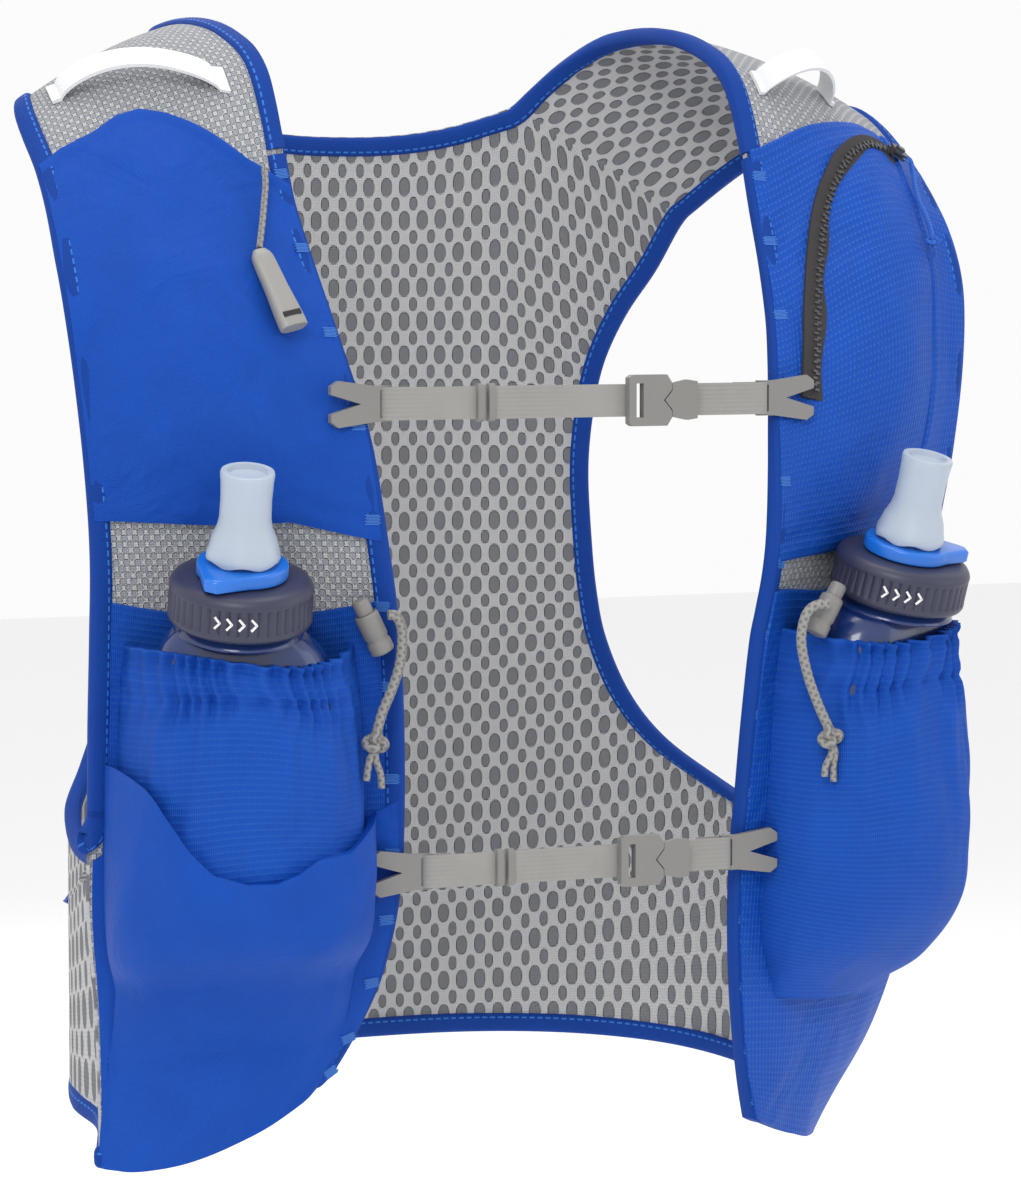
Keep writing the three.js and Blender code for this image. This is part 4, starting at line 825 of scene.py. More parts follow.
turn = circleAngles(20)
tapeShape = squarer(np.cos(turn), .55), squarer(np.sin(turn), .75)
for name, (stations, closed) in tapeLines.items():
    rows = smoothRows(np.array(stations), 8, closed)
    point, inward, outward = rows[:, 0], unit(rows[:, 1]), unit(rows[:, 2])
    halfWide = garment["tapeWidth"] / 2
    halfThick = (garment["meshWall"] + 2 * garment["tapeLeaf"]) / 2
    middle = point + inward * halfWide - outward * garment["meshWall"] / 2
    rings = (middle[:, None] + inward[:, None] * (tapeShape[0] * halfWide)[None, :, None]
             + outward[:, None] * (tapeShape[1] * halfThick)[None, :, None])
    vertices, faces, uv = loftData(rings, closed)
    uv = np.stack([uv[:, 0], np.tile(-tapeShape[0] * halfWide, len(rings))], -1)
    makeMesh(name + "_tape", vertices, faces, uv, looks["tape"], "edge_tape", (name,))
tackFacts = {"spacing": 28.0, "first": 8, "rest": 6, "inset": 4.2, "thread": .55, "stand": .06, "size": (5.2, .34, .5)}
tacks = []
for side in sides:
    rail = evenly(panelBase(side, 0.0, np.linspace(railStart, .99, 400)), 400)
    railLength = stepsOf(rail).sum()
    for at in np.arange(tackFacts["first"], railLength - tackFacts["rest"], tackFacts["spacing"]):
        v = railStart + (.99 - railStart) * at / railLength
        point, across, out = innerStation(side, v)
        down = unit(np.cross(across, out))
        for k in range(-3, 4):
            inset = across * (tackFacts["inset"] + tackFacts["thread"] * (k % 2))
            stand = out * (garment["tapeLeaf"] + tackFacts["stand"])
            tacks.append(blockData(point + inset + down * k * tackFacts["thread"] + stand, across, down, out,
                                   tackFacts["size"]))
makeMesh("rail_bartacks", *joinData(tacks), looks["thread"], "edge_tape", (), sharp=30)
print("edge tapes ready")


# Skins on the front panels
def puffShare(u, b):
    q = np.clip((u - .1) / .8, 0, 1)
    return np.sin(np.pi * q) ** 1.4 * np.maximum(np.sin(np.pi * np.clip(b, 0, 1)), 0) ** .8


lines = {
    "chestTopRight": [[0, .462], [.18, .440], [.36, .408], [.46, .391], [.55, .379], [.64, .378],
                      [.74, .386], [.88, .390], [1, .400]],
    "chestHemRight": [[0, .636], [.11, .633], [.32, .626], [.60, .627], [.92, .625], [1, .625]],
    "chestTopLeft": [[0, .436], [.07, .432], [.18, .421], [.33, .404], [.52, .386], [.64, .376],
                     [.80, .372], [1, .378]],
    "chestHemLeft": [[0, .652], [.3, .650], [.7, .645], [1, .640]],
    "lowerTopRight": [[0, .765], [.09, .773], [.20, .787], [.31, .791], [.38, .799], [.45, .803],
                      [.54, .802], [.65, .795], [.74, .782], [.89, .755], [1, .740]],
    "lowerTopLeft": [[0, .668], [.12, .668], [.40, .672], [.70, .668], [1, .660]],
}
skins = {
    "chest_pocket_right": {"side": "right", "top": "chestTopRight", "hem": "chestHemRight", "puff": 3, "fold": .9,
                           "look": "plain", "slot": "stretch_cloth"},
    "zip_panel_left": {"side": "left", "top": "chestTopLeft", "hem": "chestHemLeft", "puff": 9, "fold": 1.0,
                       "look": "ripstop", "slot": "ripstop_cloth"},
}


skinDepth = 2.75


def skinLift(facts, u, v):
    top, hem = sampleLine(lines[facts["top"]], u), sampleLine(lines[facts["hem"]], u)
    return garment["gap"] + garment["clothWall"] + facts["puff"] * puffShare(u, (v - top) / (hem - top))


for name, facts in skins.items():
    u, b = np.meshgrid(np.linspace(.02, .98, 72), np.linspace(0, 1, 80))
    v = mix(sampleLine(lines[facts["top"]], u), sampleLine(lines[facts["hem"]], u), b)
    lift = skinLift(facts, u, v)
    calm = np.sin(np.pi * np.clip(u, 0, 1)) ** .7 * np.sin(np.pi * np.clip(b * .92 + .04, 0, 1)) ** .6
    lift = lift + facts["fold"] * calm * wave(u * 9, b * 11, facts["puff"])
    lift = lift + .5 * np.exp(-((b - .012) / .018) ** 2) - .45 * np.exp(-((b - .055) / .014) ** 2)
    if facts["side"] == "left":
        seam = 1.1 * np.exp(-((u - .79 + .05 * b) / .010) ** 2)
        lift = lift - seam + .5 * np.exp(-((u - .815 + .05 * b) / .014) ** 2)
    lift = lift + .4 * np.exp(-((b - .985) / .02) ** 2) - .35 * np.exp(-((b - .945) / .012) ** 2)
    wallMesh(name + "_cloth", panelPoint(facts["side"], u, v, lift),
             panelPoint(facts["side"], u, v, np.maximum(-1, lift - skinDepth)), looks[facts["look"]], facts["slot"],
             (name,), flip=facts["side"] == "left")
print("chest panels ready")

# Zipper, its teeth and slider
zipRoute = np.array([[.765, .404], [.605, .411], [.456, .430], [.360, .452], [.299, .471], [.234, .501], [.191, .528],
                     [.174, .552], [.162, .574]])
zipUv = smoothRows(zipRoute, 24)
zipFacts = {"tape": 10.5, "height": 1.6, "ridge": .75, "pitch": 1.5, "tooth": 1.9, "swing": .55, "sliderBack": 1.8}
zipCount = 160
zipLift = skinLift(skins["zip_panel_left"], zipUv[:, 0], zipUv[:, 1]) + .35
zipLine = evenly(panelPoint("left", zipUv[:, 0], zipUv[:, 1], zipLift), zipCount)
zipU, zipV = (np.interp(np.linspace(0, 1, zipCount), np.linspace(0, 1, len(zipUv)), zipUv[:, k]) for k in (0, 1))
zipOut = panelFrame("left", zipU, zipV)[3]
zipAlong = unit(np.gradient(zipLine, axis=0))
zipAcross = unit(np.cross(zipAlong, zipOut))
share = np.linspace(-1, 1, 15)
rise = .15 + zipFacts["ridge"] * np.exp(-(share / .16) ** 2)
tapeTop = (zipLine[:, None] + zipAcross[:, None] * (share * zipFacts["tape"] / 2)[None, :, None]
           + zipOut[:, None] * rise[None, :, None])
wallMesh("chest_zipper_tape", tapeTop, tapeTop - zipOut[:, None] * zipFacts["height"], looks["zip"], "zip_tape",
         ("chest_zipper",), flip=True)

toothStand = 1.0
teeth = []
zipLength = stepsOf(zipLine).sum()
for k, at in enumerate(np.arange(4, zipLength - 2, zipFacts["pitch"])):
    i = min(int(at / zipLength * (zipCount - 1)), zipCount - 1)
    swing = zipFacts["swing"] if k % 2 else -zipFacts["swing"]
    teeth.append(blockData(zipLine[i] + zipAcross[i] * swing + zipOut[i] * toothStand, zipAlong[i], zipAcross[i],
                           zipOut[i], (.95, zipFacts["tooth"], .7)))
makeMesh("zipper_teeth", *joinData(teeth), looks["slider"], "zip_tape", (), sharp=30)
head, headAlong, headAcross, headOut = zipLine[0], zipAlong[0], zipAcross[0], zipOut[0]
headPoint = head - headAlong * zipFacts["sliderBack"]
slider = []
# each block's lower and upper height, width and length
for low, high, wide, long in ((1.2, 2.3, 5.0, 9.0), (2.3, 2.9, 2.4, 9.0), (2.9, 3.8, 4.6, 8.4), (3.8, 5.0, 1.6, 4.6)):
    slider.append(blockData(headPoint + headOut * (low + high) / 2, headAlong, headAcross, headOut,
                            (long, wide, high - low)))
makeMesh("zipper_slider_body", *joinData(slider), looks["slider"], "slider", ("zipper_slider",), sharp=30)
print("zipper ready")

# Flasks
flask = {"cap": 52, "capHeight": 17, "neck": 20, "width": 80, "depth": 42, "length": 142, "lean": 17, "splay": 4,
         "lever": 33, "leverHeight": 5, "leverReach": 24, "skirt": 27, "valveNeck": 18.6, "valveLength": 34}
grip = {"low": 3.2, "high": 12.4, "inside": 25, "depth": .75, "ribs": 44}
crimp = {"reach": 9, "share": .035, "rise": .8, "count": 6, "shift": .6}
chevrons = {"count": 4, "apart": .17, "height": 7.8, "faces": [-.45, -.89, 0], "size": (3.1, .8, .5)}
leverTurn = {"right": 140, "left": 15}
leverGap = math.radians(38)
flaskSeat = {"right": (.52, .668), "left": (.50, .668)}
flaskRows = [[.055, .72, .78, 1.05], [.13, .88, .88, 1.00], [.30, .96, .95, .95], [.52, .95, .95, .95],
             [.74, .92, .82, .95], [.90, .88, .50, .95], [1.00, .82, .14, 1.00]]


def flaskBasis(side):
    up = unit(np.array([math.sin(math.radians(flask["splay"])) * sides[side], -math.sin(math.radians(flask["lean"])),
                        math.cos(math.radians(flask["lean"]))]))
    across = unit(np.array([sides[side], 0, 0]) - up * up[0] * sides[side])
    origin = panelPoint(side, *flaskSeat[side], flask["cap"] / 2 + 1.5)
    return origin, across, up, np.cross(across, up)


def latheData(side, profile, around=96, ripple=None):
    origin, across, up, third = flaskBasis(side)
    profile = np.array(profile, float)
    angle = circleAngles(around)
    radius = np.repeat(profile[:, :1], around, 1)
    height = np.repeat(profile[:, 1:2], around, 1)
    if ripple:
        radius, height = ripple(radius, height, angle[None])
    rings = (origin + across * (radius * np.cos(angle))[..., None] + third * (radius * np.sin(angle))[..., None]
             + up * height[..., None])
    vertices, faces, uv = loftData(rings)
    if np.dot(np.cross(across, third), up) < 0:
        faces = [f[::-1] for f in faces]
    steps = np.concatenate([[0], np.cumsum(stepsOf(profile))])
    uv = np.stack(np.broadcast_arrays((angle * 20)[None], steps[:, None]), -1).reshape(-1, 2)
    return vertices, faces, uv


def capGrip(radius, height, angle):
    isWall = (height > grip["low"]) & (height < grip["high"]) & (radius > grip["inside"])
    return radius - np.where(isWall, grip["depth"] * (.5 + .5 * np.cos(angle * grip["ribs"])) ** 3, 0), height


def valveWaves(radius, height, angle):
    base = flask["capHeight"] + flask["leverHeight"]
    low = np.clip(1 - (height - base) / crimp["reach"], 0, 1)
    swing = angle * crimp["count"]
    return (radius * (1 + crimp["share"] * low * np.cos(swing)),
            height + crimp["rise"] * low * np.cos(swing + crimp["shift"]))


for side in sides:
    origin, across, up, third = flaskBasis(side)
    forward = -third if np.dot(-third, panelFrame(side, .5, .7)[3]) > 0 else third
    angle = circleAngles(56)
    neck = [origin + up * h + across * (r * np.cos(angle))[:, None] + forward * (r * np.sin(angle))[:, None]
            for r, h in ((flask["neck"], -.35), (flask["neck"] + 3, -4))]
    body = []
    for depth, wide, deep, stand in flaskRows:
        level = flaskSeat[side][1] + depth * flask["length"] / panelPitch(side, .75)
        halfDeep, halfWide = flask["depth"] / 2 * deep, flask["width"] / 2 * wide
        centre = (flask["depth"] / 2 * stand + 2.6) * min(1, deep + .25)
        wideness = halfWide * squarer(np.cos(angle), .85)
        thickness = halfDeep * squarer(np.sin(angle), .85)
        u = flaskSeat[side][0] + wideness / panelWidth(side, level)
        body.append(panelPoint(side, u, level, centre + thickness))
    rings = smoothRows(np.array(neck + body), 7)
    loftMesh("flask_body_" + side + "_film", rings, looks["film"], "flask_film", ("flask_body_" + side,),
             flip=side == "right")
    r, h = flask["cap"] / 2, flask["capHeight"]
    capProfile = [(.5, 0), (r - 1.5, 0), (r - .6, .5), (r, 1.6), (r, 3.0), (r - .1, 3.4), (r - .1, 12.2),
                  (r, 12.6), (r, 13.4), (r - .5, 14.6), (r - 1.4, 15.8), (r - 2.8, h - .5), (r - 5, h - .1),
                  (r - 8, h), (.5, h)]
    makeMesh("flask_cap_" + side + "_grip", *latheData(side, capProfile, 264, capGrip), looks["cap"], "cap",
             ("flask_cap_" + side,))
    marks = []
    facing = math.atan2(float(np.dot(chevrons["faces"], third)), float(np.dot(chevrons["faces"], across)))
    for k in range(chevrons["count"]):
        for lean in (-1, 1):
            at = facing + (k - (chevrons["count"] - 1) / 2) * chevrons["apart"]
            radial = across * math.cos(at) + third * math.sin(at)
            tangent = -across * math.sin(at) + third * math.cos(at)
            leaning = unit(tangent * .8 + up * lean * .9)
            marks.append(blockData(origin + radial * (r + .02) + up * (chevrons["height"] + lean * 1.0), leaning,
                                   np.cross(radial, leaning), radial, chevrons["size"]))
    makeMesh("flask_marks_" + side, *joinData(marks), looks["print"], "cap", (), sharp=30)
    base = h + garment["gap"]
    heading = math.radians(leverTurn[side])
    pointer = across * math.cos(heading) * sides[side] + np.array([0, -1, 0]) * math.sin(heading)
    pointer = unit(pointer - up * np.dot(pointer, up))
    swing = np.cross(up, pointer)
    outline = [[math.cos(a) * flask["lever"] / 2, math.sin(a) * flask["lever"] / 2]
               for a in np.linspace(leverGap, 2 * math.pi - leverGap, 52)]
    tip, thick = flask["leverReach"], flask["leverHeight"]
    outline = np.array(outline + [[tip - 1.2, -3.4], [tip, -2.2], [tip, 2.2], [tip - 1.2, 3.4]])
    levels = [(0.0, .965), (.5, 1.0), (thick - .9, 1.0), (thick - .25, .975), (thick, .93)]
    seat = origin + up * base
    rings = np.array([seat + up * z + pointer * (outline[:, :1] * grow) + swing * (outline[:, 1:] * grow)
                      for z, grow in levels])
    valveBody = "valve_" + side
    loftMesh("flask_lever_" + side + "_ring", rings, looks["lever"], "lever", ("flask_lever_" + side,),
             body=valveBody, sharp=40)
    vb = base + flask["leverHeight"] + garment["gap"]
    sk, vn, vl = flask["skirt"] / 2, flask["valveNeck"] / 2, flask["valveLength"]
    profile = [(.4, vb), (sk - 3, vb), (sk - .4, vb + .8), (sk, vb + 2), (sk - .2, vb + 3.6), (sk - .9, vb + 5.4),
               (vn + 2.3, vb + 9), (vn + .6, vb + 13), (vn, vb + vl * .48), (vn - .1, vb + vl * .7),
               (vn + .2, vb + vl * .88), (vn + .5, vb + vl - 1.2), (vn + .2, vb + vl - .3), (vn - .8, vb + vl),
               (vn - 2, vb + vl - .2), (vn - 2.6, vb + vl - 2), (.4, vb + vl - 2.2)]
    makeMesh("bite_valve_" + side + "_soft", *latheData(side, profile, 96, valveWaves), looks["valve"], "valve",
             ("bite_valve_" + side,), body=valveBody)
print("flasks ready")

# Flask pockets: gathered domes of stretch cloth
pocketShape = {
    "right": [[0, 1.00, 1.00], [.17, 1.05, 1.05], [.33, 1.07, 1.06], [.5, 1.07, 1.06], [.67, 1.06, 1.03],
              [.83, 1.02, .86], [1, .92, .30]],
    "left": [[0, 1.00, 1.00], [.17, 1.05, 1.05], [.33, 1.07, 1.06], [.5, 1.07, 1.04], [.67, 1.05, .95],
             [.83, 1.00, .66], [1, .82, .20]],
}
pocketLength = {"right": 138, "left": 160}
pocketStart, pitchAt = .022, .75
gathers = {"count": 34, "rim": 2.3, "band": 1.6, "seam": 1.6, "fold": 1.5, "crease": .8}
pocketReach = flask["width"] / 2 + garment["clothWall"] + .6
pocketRise = flask["depth"] + garment["clothWall"] + .6 + 3


def pocketPoint(side, share, angle, shrink):
    row = sampleTable(pocketShape[side], share)
    v = flaskSeat[side][1] + pocketStart + share * pocketLength[side] / panelPitch(side, pitchAt)
    halfWide = pocketReach * row[..., 1] - shrink
    height = np.maximum(pocketRise * row[..., 2] - shrink, .2)
    x = halfWide * squarer(np.cos(angle), .8)
    y = height * np.maximum(np.sin(angle), 0) ** .72
    return panelPoint(side, flaskSeat[side][0] + x / panelWidth(side, v), v, y)


for side in sides:
    share, angle = np.meshgrid(np.linspace(0, 1, 110), np.linspace(0, np.pi, 132), indexing="ij")
    dome = np.sin(angle) ** .5
    ripple = np.sin(angle * gathers["count"] + 2.2 * np.sin(angle * 5 + 1) + 1.2 * np.sin(share * 30))
    gather = (gathers["rim"] * np.exp(-(share / .07) ** 2)
              + gathers["band"] * np.exp(-((share - .15) / .06) ** 2)) * ripple
    gather -= gathers["seam"] * np.exp(-((share - .145) / .014) ** 2) + 1.2 * np.exp(-((share - .03) / .012) ** 2)
    folds = gathers["fold"] * np.exp(-((share - .22) / .3) ** 2) * wave(angle * 11, share * 6, 1.7)
    folds = folds + gathers["crease"] * wave(angle * 4, share * 9, .4)
    shrink = -(gather + folds + .9) * dome
    outer = pocketPoint(side, share, angle, shrink)
    inner = pocketPoint(side, share, angle, shrink + garment["clothWall"])
    wallMesh("flask_pocket_" + side + "_cloth", outer, inner, looks["stretch"], "stretch_cloth",
             ("flask_pocket_" + side,), flip=side == "right")
u, b = np.meshgrid(np.linspace(.02, .975, 50), np.linspace(0, 1, 50))
v = mix(.664 + .012 * np.sin(np.pi * u), .82, b)
v = np.where(u > .95, np.minimum(v, armholeFoot), v)
lift = 1.0 + .5 * wave(u * 9, b * 7, 1.1) * np.sin(np.pi * u) * np.sin(np.pi * b)
wallMesh("flask_pocket_right_base", panelPoint("right", u, v, lift), panelPoint("right", u, v, lift - 1.2),
         looks["stretch"], "stretch_cloth", ())
print("flask pockets ready")


# Lower pockets, smooth on the right and creased ripstop on the left
lowerFacts = {"end": .998, "leftCrease": 1.2, "rightCrease": 1.1, "rightEase": 2.6}


def lowerPoint(side, u, b, lift):
    v = mix(sampleLine(lines["lowerTopLeft" if side == "left" else "lowerTopRight"], u), lowerFacts["end"], b)
    reach = np.where(v < armholeFoot + .02, .95, 1.0)
    return panelPoint(side, np.minimum(u, reach), v, lift)


def overPocket(side, angle, b, grow):
    swing = squarer(np.cos(angle), .8)
    x = pocketReach * swing
    for _ in range(3):
        u = flaskSeat[side][0] + x / panelWidth(side, .78)
        v = mix(sampleLine(lines["lowerTopRight"], np.clip(u, 0, 1)), lowerFacts["end"], b)
        share = (v - flaskSeat[side][1] - pocketStart) * panelPitch(side, pitchAt) / pocketLength[side]
        row = sampleTable(pocketShape[side], np.clip(share, 0, 1))
        x = (pocketReach * row[..., 1] + grow) * swing
    fade = np.clip(1 - (share - 1) / .25, 0, 1)
    rise = pocketRise * row[..., 2] * fade + grow
    height = np.maximum(rise * np.maximum(np.sin(angle), 0) ** .72, 1.75 if np.mean(grow) > 1.5 else -1)
    return panelPoint(side, flaskSeat[side][0] + x / panelWidth(side, v), v, height)


b = np.linspace(0, 1, 72)[:, None]
angle = np.linspace(np.pi, 0, 96)[None]
lowerGrids = {"left": [], "right": []}
for isOuter in (True, False):
    lift = garment["gap"] + garment["clothWall"] if isOuter else -1.0
    u = np.linspace(.02, .98, 60)[None]
    crease = lowerFacts["leftCrease"] * wave(u * 8, b * 7, 2.2) * np.sin(np.pi * u) + .6 if isOuter else 0 * u * b
    uu, bb = np.broadcast_arrays(u, b)
    lowerGrids["left"].append(lowerPoint("left", uu, bb, lift + crease + .3 * np.ones_like(bb) * isOuter))
    grow = .84 + (garment["clothWall"] if isOuter else 0)
    aa, bb = np.broadcast_arrays(angle, b)
    crease = lowerFacts["rightCrease"] * wave(aa * 5, bb * 9, 3.1) * np.abs(np.sin(aa)) ** .5
    growth = grow + (crease + lowerFacts["rightEase"] if isOuter else 0)
    over = overPocket("right", aa, bb, growth)
    left2 = np.broadcast_arrays(np.array([[.02, .05]]), b)
    right2 = np.broadcast_arrays(np.array([[.95, .98]]), b)
    lowerGrids["right"].append(np.concatenate([
        lowerPoint("right", left2[0], left2[1], lift), over, lowerPoint("right", right2[0], right2[1], lift)], 1))
wallMesh("lower_pocket_left_cloth", *lowerGrids["left"], looks["ripstop"], "ripstop_cloth", ("lower_pocket_left",),
         flip=True)
wallMesh("lower_pocket_right_cloth", *lowerGrids["right"], looks["plain"], "stretch_cloth", ("lower_pocket_right",))
print("lower pockets ready")

# Back pouch
pouchFacts = {"halfWide": .6, "top": .17, "bottom": .74, "bulge": 15, "lift": 1.2, "wall": 1.4, "crease": .7}
a, b = np.meshgrid(np.linspace(0, 1, 120), np.linspace(0, 1, 90))
bulge = pouchFacts["bulge"] * np.sin(np.pi * a) ** .5 * np.maximum(np.cos(np.pi / 2 * b), 0) ** .35
crease = pouchFacts["crease"] * wave(a * 9, b * 6, .9) * np.sin(np.pi * a) ** .6 * (1 - b) ** .3
crease = crease + .6 * np.exp(-((b - .01) / .016) ** 2) - .5 * np.exp(-((b - .045) / .01) ** 2)
pouchU = mix(-pouchFacts["halfWide"], pouchFacts["halfWide"], a)
pouchV = mix(pouchFacts["top"], pouchFacts["bottom"], b)
pouch = backPoint(pouchU, pouchV, bulge + pouchFacts["lift"] + pouchFacts["wall"] + np.maximum(crease, -1))
pouchInner = backPoint(pouchU, pouchV, bulge + pouchFacts["lift"] + np.maximum(crease, -1))
wallMesh("back_pouch_cloth", pouch, pouchInner, looks["stretch"], "stretch_cloth", ("back_pouch",))

# Hang loop and shoulder loops
hangFacts = {"halfWide": .30, "at": .028, "rise": 8.7, "upper": -1, "lower": 9}
loopFacts = {"wall": 1.4, "seat": .35, "halfBand": 6, "cup": .25}
t = np.linspace(-1, 1, 60)
place, _, down, out = backFrame(t * hangFacts["halfWide"], np.full(60, hangFacts["at"]))
lift = loopFacts["seat"] + hangFacts["rise"] * (1 - t ** 4)
row = np.linspace(hangFacts["upper"], hangFacts["lower"], 7)
top = place[:, None] + down[:, None] * row[None, :, None] + out[:, None] * (lift[:, None, None] + loopFacts["wall"])
wallMesh("hang_loop_band", top, top - out[:, None] * loopFacts["wall"], looks["webbing"], "grey_webbing",
         ("hang_loop",), flip=True)
shoulderLoops = {"right": ((.18, .372), (.84, .300), 9), "left": ((.14, .366), (.58, .340), 14)}
for side, (start, end, rise) in shoulderLoops.items():
    t = np.linspace(0, 1, 90)
    place, _, down, out = panelFrame(side, mix(start[0], end[0], t), mix(start[1], end[1], t))
    lift = loopFacts["seat"] + rise * np.sin(np.pi * np.clip((t - .06) / .88, 0, 1)) ** .6
    row = np.linspace(-loopFacts["halfBand"], loopFacts["halfBand"], 9)
    cup = -loopFacts["cup"] * (row / loopFacts["halfBand"]) ** 2
    height = lift[:, None] + loopFacts["wall"] + cup[None]
    top = place[:, None] + down[:, None] * row[None, :, None] + out[:, None] * height[..., None]
    wallMesh("shoulder_loop_" + side + "_band", top, top - out[:, None] * loopFacts["wall"], looks["band"],
             "reflective_band", ("shoulder_loop_" + side,), flip=side == "right")
print("loops and pouch ready")

# Sternum straps
strap = {"width": 12, "wall": 1.3, "bar": 8, "lift": 3.2, "plate": 2.6, "buckle": 29, "upper": -.330, "lower": -.728,
         "buckleShare": .615, "foldShare": .27, "foldLift": 1.35}
for level in ("upper", "lower"):
    z = strap[level] * garment["height"]
    ends = {}
    for side in sides:
        at = innerStation(side, levelOn(side, 0.0, np.array(z)))[0]
        ends[side] = at + np.array([-sides[side] * strap["bar"], -strap["lift"] - strap["plate"] / 2, 0])
    x = unit(ends["left"] - ends["right"])
    up = unit(np.array([0, 0, 1]) - x * x[2])
    front = np.cross(x, up)
    span = float(np.linalg.norm(ends["left"] - ends["right"]))
    buckleFrom = span * strap["buckleShare"]
    buckleTo = buckleFrom + strap["buckle"]
    rear = strap["wall"] / 2 + strap["plate"] / 2 + garment["gap"]

    def ribbonData(path):
        path = evenly(smoothRows([[a, 0, o] for a, o in path], 10), 90)
        across = unit(np.gradient(path, axis=0))
        normal = np.stack([-across[:, 2], np.zeros(90), across[:, 0]], -1)
        wide = np.linspace(-1, 1, 7) * strap["width"] / 2
        grids = []
        for offset in (.5, -.5):
            p = path + normal * offset * strap["wall"]
            grids.append(ends["right"] + x * p[:, 0][:, None, None] + up * wide[None, :, None]
                         + front * p[:, 2][:, None, None])
        return grids

    turnRight = [(10, -rear + .1), (4, -rear), (0, -rear), (-2.0, -1.2), (-2.0, 1.2), (0, rear), (4, rear), (12, rear)]
    rightGrids = ribbonData(turnRight + [(buckleFrom * .5, rear), (buckleFrom + 4.5, rear)])
    wallMesh(level + "_webbing_right_band", *rightGrids, looks["webbing"], "grey_webbing",
             (level + "_webbing_right",), flip=True)
    foldFrom = span * strap["foldShare"]
    foldStops = (foldFrom, foldFrom + 1.5, span * .45, buckleFrom + 4.0)
    second = ribbonData([(a, rear + strap["foldLift"]) for a in foldStops])
    wallMesh(level + "_webbing_fold", *second, looks["webbing"], "grey_webbing", (), flip=True)
    turnLeft = [(span - a, o) for a, o in turnRight]
    leftGrids = ribbonData([(buckleTo - 4, rear), (buckleTo + 2, rear), *turnLeft[::-1]])
    wallMesh(level + "_webbing_left_band", *leftGrids, looks["webbing"], "grey_webbing",
             (level + "_webbing_left",), flip=True)
    for k, at in enumerate((foldFrom - 6, foldFrom - 1.5)):
        turn = circleAngles(28)
        halfKeeper = strap["width"] / 2 + 1.0
        keeper = np.stack([squarer(np.cos(turn), .35) * halfKeeper, squarer(np.sin(turn), .5) * 2.3], -1)
        rings = []
        for shift, grow in ((-1.4, .93), (-1.1, 1.0), (1.1, 1.0), (1.4, .93)):
            rings.append(ends["right"] + x * (at + shift) + up * keeper[:, :1] * grow
                         + front * (rear + .6 + keeper[:, 1:] * grow))
        loftMesh(level + "_keeper_" + str(k), np.array(rings), looks["hardware"], "hardware", (), flip=True)
    for node in (level + "_clip_right", level + "_clip_left", level + "_buckle_socket", level + "_buckle_plug"):
        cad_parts[node].data.materials.clear()
        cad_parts[node].data.materials.append(looks["hardware"])
print("straps ready")

# Draw-cord locks and their buttons, each lock's top and foot
buttonStand = 14.6
lockPlace = {
    "right": ([-91.9, -118.1, -213.5], [-82.9, -118.1, -231.5]),
    "left": ([103.6, -124, -214.4], [94.1, -124, -230.6]),
}


def rodData(foot, away, profile):
    side = unit(np.cross(away, [0, 1, .2]))
    other = np.cross(away, side)
    circle = roundOf(circleAngles(40), side, other)
    rings = np.array([foot + away * h + circle * r for r, h in profile])
    return loftData(rings)


for side, (top, foot) in lockPlace.items():
    top, foot = np.array(top, float), np.array(foot, float)
    away = unit(top - foot)
    barrel = [(3.2, 0), (4.1, .3), (4.5, 1.0), (4.5, 4.6), (4.1, 5.0), (4.1, 6.2), (4.5, 6.6), (4.5, 15.0),
              (4.2, 15.7), (3.7, 16), (3.55, 15.8), (3.55, 10.6), (.3, 10.6)]
    makeMesh("cord_lock_" + side + "_barrel", *rodData(foot, away, barrel), looks["hardware"], "hardware",
             ("cord_lock_" + side,))
    buttonFoot = foot + away * buttonStand
    button = [(.3, 0), (3.1, 0), (3.2, .3), (3.2, 5.8), (2.9, 6.6), (2.2, 7.0), (.3, 7.0)]
    makeMesh("cord_button_" + side + "_cap", *rodData(buttonFoot, away, button), looks["hardware"], "hardware",
             ("cord_button_" + side,), body="button_" + side)

# Whistle
whistleTop = np.array(cordRoutes["whistle_cord"][-1]) + np.array([-.4, -.3, -.8])
whistleFoot = np.array([-110.8, -105.7, -117.1])
away = unit(whistleFoot - whistleTop)
across = unit(np.cross(away, panelFrame("right", .25, .52)[3]))
outward = unit(np.cross(across, away))
whistleSize = {"length": 33, "halfWide": 9.5 / 2, "halfDeep": 6.5 / 2, "slotAt": .86, "slot": (2.0, 7.0, 7.0)}
rows = [[0, .50, .36], [.02, .60, .48], [.10, .86, .72], [.3, .92, .84], [.5, .95, .9], [.8, 1.08, 1], [.97, 1.12, 1],
        [1, 1.06, .93]]  # share of the length, then half width and half depth
angle = circleAngles(48)
cosine, sine = squarer(np.cos(angle), .7), squarer(np.sin(angle), .7)
rings = np.array([whistleTop + away * q * whistleSize["length"]
                  + across * (whistleSize["halfWide"] * wide * cosine)[:, None]
                  + outward * (whistleSize["halfDeep"] * deep * sine)[:, None]
                  for q, wide, deep in smoothRows(rows, 4)])
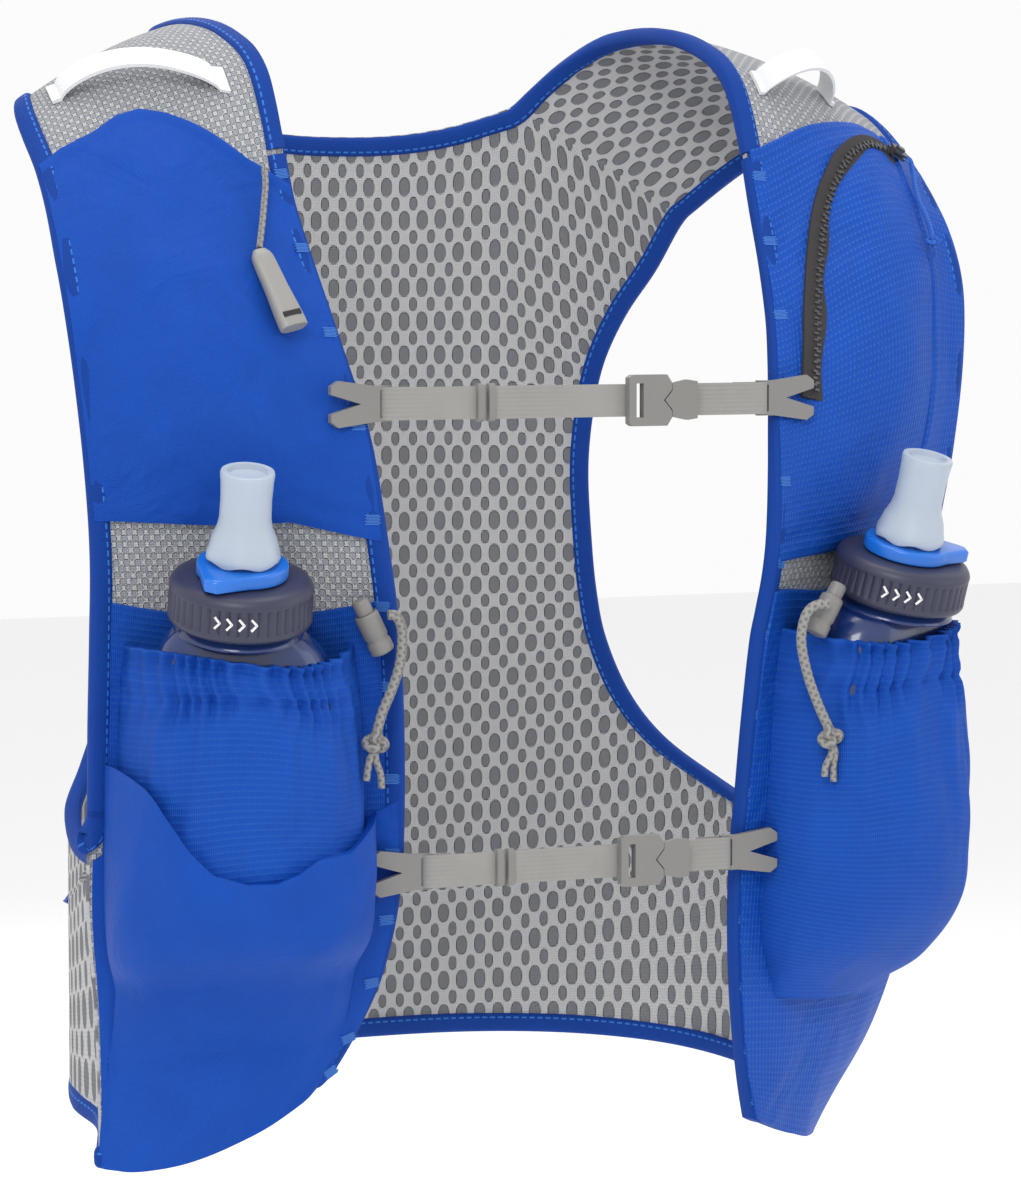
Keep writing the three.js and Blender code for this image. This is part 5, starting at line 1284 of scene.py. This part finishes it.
whistle = loftMesh("whistle_body", rings, looks["whistle"], "whistle_body", ("whistle",))
# Painted shade: a near-black block stands for the shade inside the whistle's slot.
slot = blockData(whistleTop + away * whistleSize["length"] * whistleSize["slotAt"], away, across, outward,
                 whistleSize["slot"])
slotPiece = makeMesh("whistle_slot", *slot, looks["dark"], "whistle_body", ())
print("small parts ready")

for cordName, (piece, line) in cordPieces.items():
    facts = cordFacts[cordName]

# Floor, light and world
room = {"floorHalf": 6, "floorHeight": -.70, "paper": (.9, .9, .9, 1), "roughness": .9, "world": .97}
half, floorHeight = room["floorHalf"], room["floorHeight"]
floor = bpy.data.meshes.new("studioFloor")
floor.from_pydata([(x, y, floorHeight) for x, y in ((-half, -half), (half, -half), (half, half), (-half, half))], [],
                  [(0, 1, 2, 3)])
paper = bpy.data.materials.new("palePaper")
paper.use_nodes = True
paper.node_tree.nodes["Principled BSDF"].inputs["Base Color"].default_value = room["paper"]
paper.node_tree.nodes["Principled BSDF"].inputs["Roughness"].default_value = room["roughness"]
floor.materials.append(paper)
floorPiece = bpy.data.objects.new("studioFloor", floor)
bpy.context.scene.collection.objects.link(floorPiece)
lights = {  # place, size in metres, watts
    "keyLight": ((-1.3, -1.8, 1.2), .9, 20), "fillLight": ((1.8, -1.3, .4), 1.2, 4),
    "topLight": ((.1, .1, 1.8), 1.2, 12), "backLight": ((.2, 2.0, .8), 1.4, 9),
}
target = Vector((0, 0, -.22))
for name, (position, size, power) in lights.items():
    lamp = bpy.data.lights.new(name, "AREA")
    lamp.size = size
    lamp.energy = power
    stand = bpy.data.objects.new(name, lamp)
    stand.location = position
    stand.rotation_euler = (target - Vector(position)).to_track_quat("-Z", "Y").to_euler()
    bpy.context.scene.collection.objects.link(stand)
world = bpy.data.worlds.new("paleRoom")
world.use_nodes = True
world.node_tree.nodes["Background"].inputs[0].default_value = (1, 1, 1, 1)
world.node_tree.nodes["Background"].inputs[1].default_value = room["world"]
bpy.context.scene.world = world
bpy.context.scene.view_settings.view_transform = "Standard"
